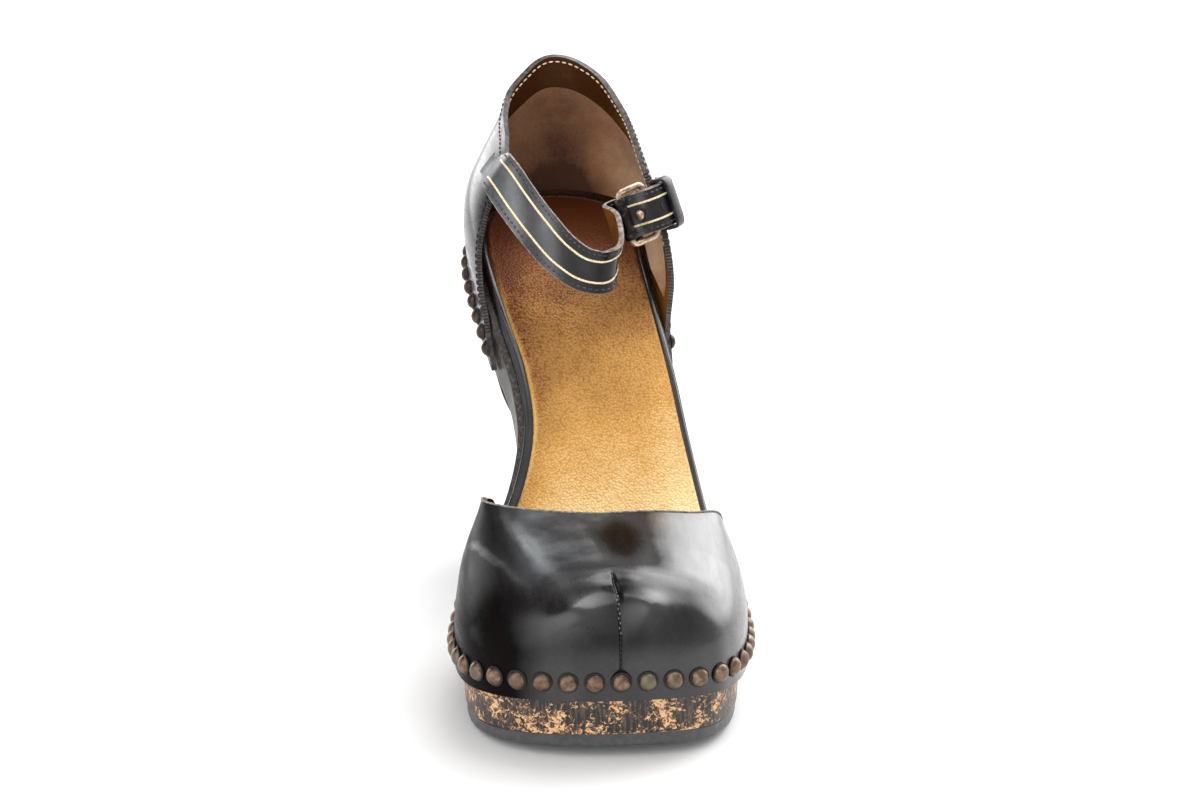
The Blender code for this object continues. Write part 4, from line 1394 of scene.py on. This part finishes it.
@dataclass
class HeelCounter:
    """Cupped heel counter with its lining, grip pad and edge stitching."""

    rows: int = 56
    steps: int = 150
    wall: float = 1.9
    first: Dict[Side, float] = by_side(149.0, 149.0)
    pad_first: Dict[Side, float] = by_side(165.0, 159.2)
    pad_low: float = 0.2
    pad_gap: float = 0.5
    pad_tuck: float = 2.4
    pad_thick: float = 0.6
    pad_drop: Tuple[float, float] = (5.5, 11.5)
    pad_fall: Dict[Side, Tuple[float, float]] = by_side((178.0, 26.0), (172.0, 16.0))
    whip_top: float = 141.0

    def turns(self, first: float) -> Array:
        """Angles from a place on a wing to the back of the heel."""
        return np.linspace(float(LAST.turn(first)), math.pi, self.steps)

    def top(self, turn: Array, side: Side) -> Array:
        """Height of the top edge over the insole."""
        return LAST.wing[side](LAST.along(turn))

    def round_heel(
        self, first: Dict[Side, float], low: float, top: Callable, inward: float = 0.0, tuck: float = 0.0
    ) -> Array:
        """Net from the medial wing round the back to the lateral wing.

        Args:
            first: where each wing starts.
            low: height of the lower edge over the insole.
            top: height of the upper edge, by angle and side.
            inward: distance inside the outer face.
            tuck: how much further inside the lower edge lies on the lateral side.

        Returns:
            Points, rows from low to high.
        """
        parts = []
        share = np.linspace(0, 1, self.rows)[:, None]
        for side in Side:
            turn = self.turns(first[side])
            height = low + (np.maximum(top(turn, side), low + 0.01)[None] - low) * share
            wide = np.broadcast_to(turn, height.shape)
            tall = ramp((top(turn, side) - low) / 12.0) * np.sin(turn) ** 0.5
            depth = inward + tuck * (side is Side.LATERAL) * (1 - share) ** 2 * tall
            parts.append(LAST.counter(wide, side, height) - depth[..., None] * LAST.counter_out(wide, side, height))
        return round_back(*parts, axis=1)

    def shell(self) -> None:
        """Builds the wall: glazed outside, bronze lining inside, dyed cut edge."""
        obj = grid_net("counter_leather", self.round_heel(self.first, -LAST.nail_margin, self.top))
        thicken(obj, self.wall)
        # Lining tone with painted light and shade: paler on the lateral wing, darker at the back of the heel cup.
        mark(obj, "wear", lambda x, s, z: 0.62 - 0.30 * bump(x - 30.0, 12.0) + 0.18 * bump(s - 212.0, 14.0))
        dress(obj, [Stuff.LEATHER, Stuff.LINING, Stuff.DARK_EDGE], ["counter"], angle=50)

    def pad_top(self, turn: Array, side: Side) -> Array:
        """Height of the upper edge of the grip pad: low at the back, nearer the edge on the wings.

        Args:
            turn: angles round the outline.
            side: side of the foot.

        Returns:
            Heights over the insole.
        """
        start, run = self.pad_fall[side]
        near, far = self.pad_drop
        return self.top(turn, side) - near - (far - near) * ramp((LAST.along(turn) - start) / run)

    def pad(self) -> None:
        """Builds the suede grip pad against the lining."""
        net = self.round_heel(self.pad_first, self.pad_low, self.pad_top, self.wall + self.pad_gap, self.pad_tuck)
        obj = grid_net("heel_grip_pad", net)
        modify(obj, "SOLIDIFY", thickness=self.pad_thick * MM, offset=0.0)
        # Painted light and shade on the grip pad.
        mark(obj, "wear", self.pad_painted_light)
        dress(obj, [Stuff.GRIP], angle=60)

    @staticmethod
    def pad_painted_light(x: Array, s: Array, z: Array) -> Array:
        """Painted light and shade on the suede: painted shade in the middle and at the foot of the pad, painted light
        laterally.

        Args:
            x: places across the foot.
            s: places along the foot.
            z: heights.

        Returns:
            The darkness at each point.
        """
        over = z - LAST.bed(s)
        # Painted shade in the middle and at the foot of the pad, where it meets the insole.
        wear = 0.42 + 0.28 * bump(x - 1.0, 11.0) * (0.40 + 0.60 * bump(over - 6.0, 18.0)) + 0.30 * bump(over, 8.0)
        # Painted light towards the lateral side and on the lateral wing.
        return wear - 0.10 * bump(x - 16.0, 9.0) - 0.60 * bump(x - 28.0, 12.0) * bump(z - 116.0, 20.0)

    def edge_line(self, drop: float, inward: float, first: float) -> Tuple[Array, Array]:
        """Line along the top edge and the way out of the wall along it.

        Args:
            drop: distance below the edge.
            inward: distance inside the outer face.
            first: where the line starts on each wing.

        Returns:
            Points of the line and outward directions.
        """
        turn = self.turns(first)
        points, outs = [], []
        for side in Side:
            height = self.top(turn, side) - drop
            outs.append(LAST.counter_out(turn, side, height))
            points.append(LAST.counter(turn, side, height) - outs[-1] * inward)
        return round_back(*points), round_back(*outs)

    def stitches(self) -> None:
        """Builds the gilt stitches inside the top edge, black ones outside and the whipped wing edges."""
        for name, drop, inward, thread, first in (
            ("counter_gilt_stitches", 1.8, self.wall + 0.12, Stuff.GOLD_THREAD, 166.0),
            ("counter_black_stitches", 2.2, -0.05, Stuff.BLACK_THREAD, 158.0),
        ):
            row = spaced(*self.edge_line(drop, inward, first), 2.3)
            sew(name, [axes_at(*at) for at in zip(*row)], 1.7, 0.3, thread)
        row = spaced(*self.edge_line(0.2, self.wall / 2, 155.0), 1.1)
        whipped = [axes_at(spot, out, np.cross(run, out)) for spot, run, out in zip(*row) if spot[2] < self.whip_top]
        sew("wing_edge_stitches", whipped, 2.4, 0.33, Stuff.BLACK_THREAD)

    def build(self) -> None:
        """Builds the wall, the pad and the stitching."""
        for step in (self.shell, self.pad, self.stitches):
            step()


@dataclass
class DomeNails:
    """Dome nails that hold the vamp and the counter to the wood."""

    vamp_radius: float = 3.0
    vamp_height: float = 2.2
    vamp_pitch: float = 8.4
    vamp_below: float = 6.6
    vamp_end: float = 110.0
    per_side: int = 15
    counter_radius: float = 2.6
    counter_height: float = 1.9
    counter_pitch: float = 7.0
    counter_below: float = 9.5
    counter_first: float = 150.5
    counter_stand: float = 0.15
    seat_radius: float = 0.42
    tilt: float = 0.06

    def seat_pattern(self, radius: float) -> Piece:
        """Ring of leather pressed dark round a nail, partly a painted contact shadow.

        Args:
            radius: radius of the nail's head in mm.

        Returns:
            The ring at the origin.
        """
        activate()
        bpy.ops.mesh.primitive_torus_add(
            major_segments=24, minor_segments=8, major_radius=radius * MM, minor_radius=self.seat_radius * MM)
        obj = bpy.context.object
        in_edit(obj, squash((1, 1, 0.6)))
        return obj

    def vamp_places(self) -> List[Nail]:
        """Places of the nails of the vamp.

        Returns:
            Name of the CAD node, place and outward direction of each nail.
        """
        places = []
        out = LAST.cover + LAST.gap
        turn = np.linspace(0, float(LAST.turn(self.vamp_end)), 400)
        for side in Side:
            run = length_along(np.stack(LAST.edge(turn, side, out)[:2], axis=-1))
            for k in range(0 if side is Side.MEDIAL else 1, self.per_side + 1):
                at = float(np.interp(k * self.vamp_pitch, run, turn))
                x, s, nx, ns = (float(v) for v in LAST.edge(at, side, out))
                z = float(LAST.bed(LAST.along(at))) - self.vamp_below
                name = "nail_toe" if k == 0 else f"nail_{side.name.lower()}_{k:02d}"
                places.append((name, np.array((x, s, z)), np.array((nx, ns, 0.0))))
        return places

    def counter_places(self) -> List[Nail]:
        """Places of the nails of the counter.

        Returns:
            Name, place and outward direction of each nail.
        """
        turn = np.linspace(float(LAST.turn(self.counter_first)), math.pi, 200)
        points, outs = [], []
        for side in Side:
            points.append(LAST.counter(turn, side, np.full_like(turn, -self.counter_below)))
            _, _, nx, ns = LAST.edge(turn, side)
            outs.append(np.stack((nx, ns, np.zeros_like(nx)), axis=-1))
        spots, _, away = spaced(round_back(*points), round_back(*outs), self.counter_pitch)
        return [(f"counter_nail_{k:02d}", spot + self.counter_stand * out, out)
                for k, (spot, out) in enumerate(zip(spots, unit(away)), 1)]

    def drive(self, row: str, places: List[Nail], radius: float, height: float, stuff: Stuff, swap: bool) -> None:
        """Sets one row of nails, each with its own age, over a row of pressed seats that double as painted contact
        shadows.

        Args:
            row: name of the row.
            places: name, place and outward direction of each nail.
            radius: radius of the heads in mm.
            height: height of the heads in mm.
            stuff: their finish.
            swap: whether each nail stands for the CAD node of its name.
        """
        halve = partial(bpy.ops.mesh.bisect, plane_co=(0, 0, 0), plane_no=(0, 0, 1), clear_inner=True, use_fill=True)
        pattern = ball(20, 16, (radius, radius, height), halve)
        seats = []
        for number, (name, point, out) in enumerate(places):
            seats.append(axes_at(point, (-out[1], out[0], 0.0), out))
            tilt = Matrix.Rotation(self.tilt * math.sin(5.1 * number), 4, "X")
            tilt = tilt @ Matrix.Rotation(self.tilt * math.cos(3.7 * number), 4, "Y")
            nail = rename(copy_at(pattern, seats[-1] @ tilt), f"dome_{name}")
            age = 0.5 + 0.5 * math.sin(2.4 * number + 1.3 * math.sin(1.7 * number))
            mark(nail, "age", lambda x, s, z: age)
            dress(nail, [stuff], [name] if swap else [])
        bpy.data.objects.remove(pattern, do_unlink=True)
        dress(scatter(f"{row}_nail_seats", self.seat_pattern(radius), seats), [Stuff.NAIL_SEAT])

    def build(self) -> None:
        """Drives both rows of nails."""
        self.drive("vamp", self.vamp_places(), self.vamp_radius, self.vamp_height, Stuff.NAIL, True)
        self.drive(
            "counter", self.counter_places(), self.counter_radius, self.counter_height, Stuff.COUNTER_NAIL, False)


# Straps and buckle


@dataclass
class AnkleStrap:
    """Ankle strap with its buckle, the short strap that holds the buckle, and the keeper."""

    buckle_at: Point = (17.2, 158.0, 130.4)
    buckle_run: Point = (0.83, 0.53, 0.16)
    buckle_up: Point = (-0.27, 0.20, 0.93)
    bar: float = 1.1
    frame_run: float = 10.5
    frame_half: float = 9.3
    corner: float = 1.8
    roller: float = 2.1
    roller_half: float = 7.4
    roller_wall: float = 0.4
    prong: float = 0.6
    prong_tip: Tuple[float, float] = (3.0, 3.9)
    prong_ball: Tuple[float, ...] = (0.95, 1.45, 1.75, 1.65, 1.10)
    hook: float = 300.0
    width: float = 15.0
    thick: float = 1.8
    chape_thick: float = 1.2
    ease: float = 0.5
    wrap_radius: float = 11.5
    wrap_turn: float = math.radians(66.0)
    chape_tail: float = 9.0
    tail: float = 13.0
    keeper_at: float = 5.2
    keeper_width: float = 4.4
    keeper_thick: float = 1.0
    keeper_square: float = 0.35
    sewn: Tuple[Point, ...] = ((189.0, 27.5, -0.95), (185.0, 28.5, -0.95), (181.0, 30.0, -0.2))
    start_half: float = 4.6
    start_at: Tuple[float, float] = (184.0, 7.0)
    steps: int = 260
    soften: float = 1.6
    line_in: float = 3.9
    line_from: float = 178.0
    line_stop: int = 14
    line_size: Tuple[float, float] = (0.36, 0.22)
    stitch_in: float = 1.6
    hole_at: float = 1.3

    def __post_init__(self) -> None:
        """Works out the buckle's own directions."""
        run = unit(np.array(self.buckle_run))
        up = square_to(np.array(self.buckle_up), run)
        self.axes = np.stack((run, up, np.cross(run, up)))
        self.eye = self.bar + LAST.gap
        self.over = self.eye + self.chape_thick + LAST.gap + self.thick / 2 + self.ease
        self.under = self.roller + self.thick / 2 + self.ease
        self.bend = self.wrap_radius * self.wrap_turn

    def at_buckle(self, local: Array) -> Array:
        """Points in the buckle's directions (along, up, out) turned to shoe millimetres."""
        return np.array(self.buckle_at) + np.asarray(local, float) @ self.axes

    def wrap(self, run: Array, out: float) -> Array:
        """Line past the hinge that bends back along the wing.

        Args:
            run: distances along it.
            out: distance outside its middle.

        Returns:
            Points along, up and out.
        """
        turned = np.minimum(run / self.wrap_radius, self.wrap_turn)
        straight = np.maximum(run - self.bend, 0)
        radius = self.wrap_radius + out
        along = self.frame_run + radius * np.sin(turned) + straight * np.cos(turned)
        height = radius * np.cos(turned) - self.wrap_radius - straight * np.sin(turned)
        return np.stack((along, np.zeros_like(along), height), axis=-1)

    def path(self) -> Tuple[Array, Array, Array]:
        """Middle line of the strap.

        Returns:
            Points, width directions and directions out of its outer face.
        """
        knots = []
        for s, height, lift in self.sewn:
            turn = float(LAST.turn(s))
            here = LAST.counter(turn, Side.MEDIAL, height)
            up = unit(LAST.counter(turn, Side.MEDIAL, height + 0.5) - here)
            along = unit(LAST.counter(float(LAST.turn(s + 0.5)), Side.MEDIAL, height) - here)
            knots.append((*(here - unit(np.cross(along, up)) * lift), *up))
        knots += [tuple(row) for row in STRAP_ROUTE]
        through = [(-3.0, 0.0, -self.under - 0.4), (0.0, 0.0, -self.under), (3.0, 0.0, -self.under + 1.5),
                   (5.5, 0.0, 0.0), (8.0, 0.0, self.over - 1.4)]
        for place in through + list(self.wrap(np.linspace(0, self.bend + self.tail, 13), self.over)):
            knots.append((*self.at_buckle(place), *self.axes[1]))
        knots = np.array(knots)
        run = length_along(knots[:, :3])
        at = np.linspace(0, run[-1], self.steps)
        rows = Track(run, knots)(at)
        near = bump(at[:, None] - at[None], self.soften)
        soft = near / near.sum(axis=1, keepdims=True) @ rows
        soft[[0, -1], :3] = rows[[0, -1], :3]
        ahead = unit(np.gradient(soft[:, :3], axis=0))
        across = square_to(soft[:, 3:], ahead)
        return soft[:, :3], across, np.cross(ahead, across)

    @staticmethod
    def band(name: str, line: Array, across: Array, face: Array, half: Array, thick: float, zones: bool) -> Piece:
        """Flat strap with soft edges along a line.

        Args:
            name: name of the piece.
            line: its middle line.
            across: its width directions.
            face: its outer face's directions.
            half: half its width at each row.
            thick: its thickness.
            zones: whether lining and edges are their own material zones.

        Returns:
            The strap.
        """
        soft, crown = 0.35, 0.12
        flat = np.linspace(-1, 1, 11)
        section = [(w, thick / 2 + crown * (1 - w**2)) for w in flat] + [(1.0, 0.0)]
        section += [(w, -thick / 2) for w in flat[::-1]] + [(-1.0, 0.0)]
        columns = []
        for w, h in section + section[:1]:
            inset = soft if abs(w) == 1.0 and abs(h) > 0.01 else 0.0
            columns.append(line + across * ((half - inset) * w)[:, None] + face * h)
        kinds = np.array([0] * 10 + [2, 2] + [1] * 10 + [2, 2])
        obj = grid_net(name, np.stack(columns, axis=1), kinds if zones else None)
        close_ends(obj)
        return obj

    @staticmethod
    def strap_polish(x: Array, s: Array, z: Array) -> Array:
        """Gloss of the strap: bright where it turns up from the instep and at the buckle."""
        bright = 0.50 * bump(x + 9.5, 3.2) + 0.5 * bump(x - 22.5, 1.4)
        return bright - 0.16 - 0.25 * ramp((-21.0 - x) / 3.0)

    @staticmethod
    def strap_shade(x: Array, s: Array, z: Array) -> Array:
        """Painted light on the strap: painted sheen towards its sewn end and a painted highlight where it turns up.
        """
        return 0.16 * ramp((-8.0 - x) / 6.0) + 0.26 * ramp((-15.0 - x) / 5.0) + 0.24 * bump(x + 9.5, 2.8)

    def strap(self) -> None:
        """Builds the strap, its gilt lines and its stitches."""
        line, across, face = self.path()
        full = self.width / 2
        start = self.start_half + (full - self.start_half) * ramp((self.start_at[0] - line[:, 1]) / self.start_at[1])
        half = np.where(np.arange(len(line)) < len(line) // 3, start, full)
        to_end = np.linalg.norm(line - line[-1], axis=-1)
        near = to_end < full
        half[near] = np.sqrt(np.maximum(full**2 - (full - to_end[near]) ** 2, 4.0))
        obj = self.band("ankle_strap_leather", line, across, face, half, self.thick, True)
        mark(obj, "polish", self.strap_polish)
        # Painted sheen and a painted highlight on the strap.
        mark(obj, "shade", self.strap_shade)
        mark(obj, "wear", lambda x, s, z: 0.42)
        dress(obj, STRAP_LEATHERS, ["ankle_strap"], angle=35)
        keep = slice(int(np.argmax(line[:, 1] < self.line_from)), len(line) - self.line_stop)
        line, across, face = line[keep], across[keep], face[keep]
        half = np.full(len(line), self.line_size[0])
        for number, sign in enumerate((-1, 1), 1):
            lifted = line + across * (sign * (full - self.line_in)) + face * (self.thick / 2 + 0.12)
            gilt = self.band(f"strap_gilt_line_{number}", lifted, across, face, half, self.line_size[1], False)
            dress(gilt, [Stuff.GOLD_THREAD], angle=60)
            lifted = line + across * (sign * (full - self.stitch_in)) + face * (self.thick / 2 + 0.05)
            places = [axes_at(*at) for at in zip(*spaced(lifted, face, 2.1))]
            sew(f"strap_stitches_{number}", places, 1.5, 0.38, Stuff.CHARCOAL_THREAD)

    def hole(self) -> None:
        """Builds a dark spot behind the prong as the painted shade of the punched hole, which is not cut."""
        place = self.wrap(np.array([self.hole_at]), self.over + self.thick / 2 + 0.1)[0]
        spot = axes_at(self.at_buckle(place), self.axes[1], self.axes[2])
        sew("strap_hole_painted_shade", [spot], 3.0, 0.55, Stuff.NAIL_SEAT)

    def chape(self) -> None:
        """Builds the short strap folded round the hinge bar."""
        middle = self.eye + self.chape_thick / 2
        fold = np.radians(np.linspace(290.0, 90.0, 24))[:-1]
        turned = np.stack(
            (self.frame_run + middle * np.cos(fold), np.zeros_like(fold), middle * np.sin(fold)), axis=-1)
        outer = self.wrap(np.linspace(0, self.bend + self.chape_tail, 40), middle)
        line = self.at_buckle(np.concatenate((turned, outer)))
        across = np.broadcast_to(self.axes[1], line.shape)
        face = np.cross(unit(np.gradient(line, axis=0)), across)
        half = np.full(len(line), self.width / 2)
        obj = self.band("buckle_chape_leather", line, across, face, half, self.chape_thick, True)
        dress(obj, STRAP_LEATHERS, ["chape"], angle=35)

    def keeper(self) -> None:
        """Builds the leather keeper round strap and chape."""
        low = self.eye - LAST.gap
        high = self.over + self.thick / 2 + self.ease
        middle = self.wrap(np.array([self.keeper_at]), (low + high) / 2)[0]
        turned = min(self.keeper_at / self.wrap_radius, self.wrap_turn)
        heading = np.array((math.cos(turned), 0.0, -math.sin(turned)))
        ways = np.array(((0.0, 1.0, 0.0), (math.sin(turned), 0.0, math.cos(turned))))
        half = np.array((self.width / 2 + self.ease, (high - low + self.ease) / 2)) + self.keeper_thick / 2
        steps = np.linspace(0, 2 * math.pi, 81)
        wave = np.stack((np.cos(steps), np.sin(steps)), axis=-1)
        loop = middle + (np.sign(wave) * np.abs(wave) ** self.keeper_square * half) @ ways
        face = unit(wave / half) @ ways
        section = (
            (-1, -0.5), (-1, 0.5), (-0.7, 0.62), (0, 0.66), (0.7, 0.62), (1, 0.5), (1, -0.5), (0, -0.5), (-1, -0.5))
        columns = [loop + heading * (w * self.keeper_width / 2) + face * (h * self.keeper_thick) for w, h in section]
        obj = grid_net("keeper_leather", self.at_buckle(np.stack(columns, axis=1)))
        weld(obj)
        dress(obj, [Stuff.LEATHER], ["keeper"], angle=40)

    def tube(self, name: str, line: Array, radius: Array, closed: bool) -> Piece:
        """Round bar along a line.

        Args:
            name: name of the piece.
            line: its middle line in the buckle's directions.
            radius: its radius at each row.
            closed: whether it closes on itself, flat in the buckle's plane.

        Returns:
            The bar.
        """
        ahead = unit(np.gradient(line, axis=0))
        if closed:
            ahead[0] = ahead[-1] = unit(line[1] - line[-2])
        first = unit(np.cross(ahead, (0.0, 0.0, 1.0) if closed else (0.0, 1.0, 0.0)))
        obj = grid_net(name, self.at_buckle(pipe(line, first, np.cross(ahead, first), radius[:, None, None], 16)))
        weld(obj)
        return obj

    def frame_bar(self) -> None:
        """Builds the frame of the buckle with its round corners."""
        points = []
        half = self.frame_run / 2
        for quarter, (sign_a, sign_b) in enumerate(((1, 1), (-1, 1), (-1, -1), (1, -1))):
            angle = math.pi / 2 * (quarter + np.linspace(0, 1, 9))
            along = half + sign_a * (half - self.corner) + self.corner * np.cos(angle)
            up = sign_b * (self.frame_half - self.corner) + self.corner * np.sin(angle)
            points.append(np.stack((along, up, np.zeros_like(up)), axis=-1))
        loop = np.concatenate(points + [points[0][:1]])
        obj = self.tube("buckle_frame_brass", loop, np.full(len(loop), self.bar), True)
        dress(obj, [Stuff.BUCKLE], ["buckle_frame"], angle=50)

    def roller_tube(self) -> None:
        """Builds the roller on the front bar."""
        ends = np.array((-1.0, -0.985, -0.95, -0.6, 0.0, 0.6, 0.95, 0.985, 1.0)) * self.roller_half
        size = self.roller - np.array((0.55, 0.15, 0.0, 0.0, 0.0, 0.0, 0.0, 0.15, 0.55))
        axis = ends[:, None] * np.array((0.0, 1.0, 0.0))
        ways = [np.broadcast_to(way, axis.shape) for way in ((1.0, 0.0, 0.0), (0.0, 0.0, 1.0))]
        obj = grid_net("buckle_roller_brass", self.at_buckle(pipe(axis, *ways, size[:, None, None], 28)))
        weld(obj)
        modify(obj, "SOLIDIFY", thickness=self.roller_wall * MM, offset=-1.0)
        dress(obj, [Stuff.ROLLER], ["buckle_roller"], angle=40)

    def prong_wire(self) -> None:
        """Builds the prong, hooked round the hinge bar and thick at its tip."""
        eye = self.eye + self.prong
        angles = np.radians(self.hook * (np.linspace(0, 1, 24) - 0.5))
        hook = np.stack((self.frame_run + eye * np.cos(angles), np.zeros_like(angles), eye * np.sin(angles)), axis=-1)
        tip = np.array((self.prong_tip[0], 0.0, self.prong_tip[1]))
        line = np.concatenate((hook, np.linspace(hook[-1], tip, 14)[1:]))
        size = np.full(len(line), self.prong)
        size[-len(self.prong_ball):] = self.prong_ball
        line = np.concatenate((line[:1], line, line[-1:] + (line[-1:] - line[-2:-1]) * 0.1))
        size = np.concatenate(([0.02], size, [0.02]))
        obj = self.tube("buckle_prong_brass", line, size, False)
        dress(obj, [Stuff.BUCKLE], ["buckle_prong"], angle=60)

    def build(self) -> None:
        """Builds strap, chape, keeper and buckle."""
        leather = (self.strap, self.hole, self.chape, self.keeper)
        for step in leather + (self.frame_bar, self.roller_tube, self.prong_wire):
            step()


# Studio


def aim(obj: Piece, place: Point, target: Point) -> None:
    """Puts a light or camera in its place and turns it to its target.

    Args:
        obj: the light or camera.
        place: where it stands, in metres.
        target: what it points at, in metres.
    """
    bpy.context.scene.collection.objects.link(obj)
    obj.location = place
    obj.rotation_euler = (Vector(target) - Vector(place)).to_track_quat("-Z", "Y").to_euler()


@dataclass(frozen=True)
class SoftBox:
    """One soft studio light."""

    name: str
    place: Point
    target: Point
    size: Tuple[float, float]
    watts: float

    def build(self) -> None:
        """Hangs the light and turns it to its target."""
        data = bpy.data.lights.new(self.name, "AREA")
        data.shape = "RECTANGLE"
        data.size, data.size_y = self.size
        data.energy = self.watts
        aim(bpy.data.objects.new(self.name, data), self.place, self.target)


@dataclass(frozen=True)
class Panel:
    """Pale wall or dark gap of the studio, seen as a soft round patch far away."""

    way: Point
    amount: float
    inner: float
    outer: float

    def add(self, tree: bpy.types.NodeTree, place: Socket, before: object) -> Socket:
        """Adds the patch to the light that is already there.

        Args:
            tree: the world's node tree.
            place: the direction looked in.
            before: strength of the light so far.

        Returns:
            Strength with the patch.
        """
        node = partial(add_node, tree)
        way = tuple(Vector(self.way).normalized())
        facing = node("VectorMath", {0: place, 1: way}, out="Value", operation="DOT_PRODUCT")
        far, near = (math.cos(math.radians(angle)) for angle in (self.outer, self.inner))
        share = node(
            "MapRange", {"Value": facing, "From Min": far, "From Max": near}, interpolation_type="SMOOTHSTEP")
        return node("Math", {0: share, 1: self.amount, 2: before}, operation="MULTIPLY_ADD")


@dataclass(frozen=True)
class Studio:
    """White floor, soft light and a long lens in front of the toe."""

    floor_size: float = 9.0
    world: float = 0.85
    eye: Point = (-0.120, -1.390, 0.571)
    target: Point = (0.0034, -0.010, 0.086)
    lens: float = 133.0
    sensor: float = 36.0
    panels: Tuple[Panel, ...] = (
        Panel((0.59, 0.64, 0.48), 3.9, 12.0, 38.0),
        Panel((-0.56, 0.50, 0.62), -0.80, 16.0, 38.0),
        Panel((-0.46, 0.88, 0.06), 3.6, 8.0, 26.0),
        Panel((-0.60, -0.62, 0.50), 1.0, 18.0, 50.0),
    )
    box: SoftBox = SoftBox("top_softbox", (0.25, 0.25, 1.1), (0.0, 0.0, 0.06), (0.9, 0.7), 6.0)

    def floor(self) -> None:
        """Lays the floor."""
        activate()
        bpy.ops.mesh.primitive_plane_add(size=self.floor_size)
        obj = bpy.context.object
        obj.name = "studio_floor"
        obj.data.materials.append(material_of(Stuff.FLOOR))

    def camera(self) -> None:
        """Sets the camera where the viewer stands."""
        data = bpy.data.cameras.new("viewer")
        data.lens = self.lens
        data.sensor_width = self.sensor
        obj = bpy.data.objects.new("viewer", data)
        aim(obj, self.eye, self.target)
        bpy.context.scene.camera = obj

    def light(self) -> None:
        """Sets up the light from all round with its panels, and the soft box overhead."""
        world = bpy.data.worlds.new("studio_white")
        bpy.context.scene.world = world
        world.use_nodes = True
        tree = world.node_tree
        ground = tree.nodes["Background"]
        ground.inputs["Color"].default_value = (1.0, 1.0, 1.0, 1.0)
        place = add_node(tree, "TexCoord", out="Generated")
        strength: object = self.world
        for panel in self.panels:
            strength = panel.add(tree, place, strength)
        tree.links.new(strength, ground.inputs["Strength"])
        bpy.context.scene.view_settings.view_transform = "Standard"
        self.box.build()

    def build(self) -> None:
        """Sets up light, floor and camera."""
        for step in (self.light, self.floor, self.camera):
            step()


def main() -> None:
    """Builds the shoe piece by piece, then the studio."""
    logging.basicConfig(level=logging.INFO, format="%(message)s")
    for assembly in (PlatformSole(), Insole(), Vamp(), HeelCounter(), DomeNails(), AnkleStrap()):
        assembly.build()
        LOG.info("built %s", type(assembly).__name__)
    Studio().build()


if __name__ == "__main__":
    main()
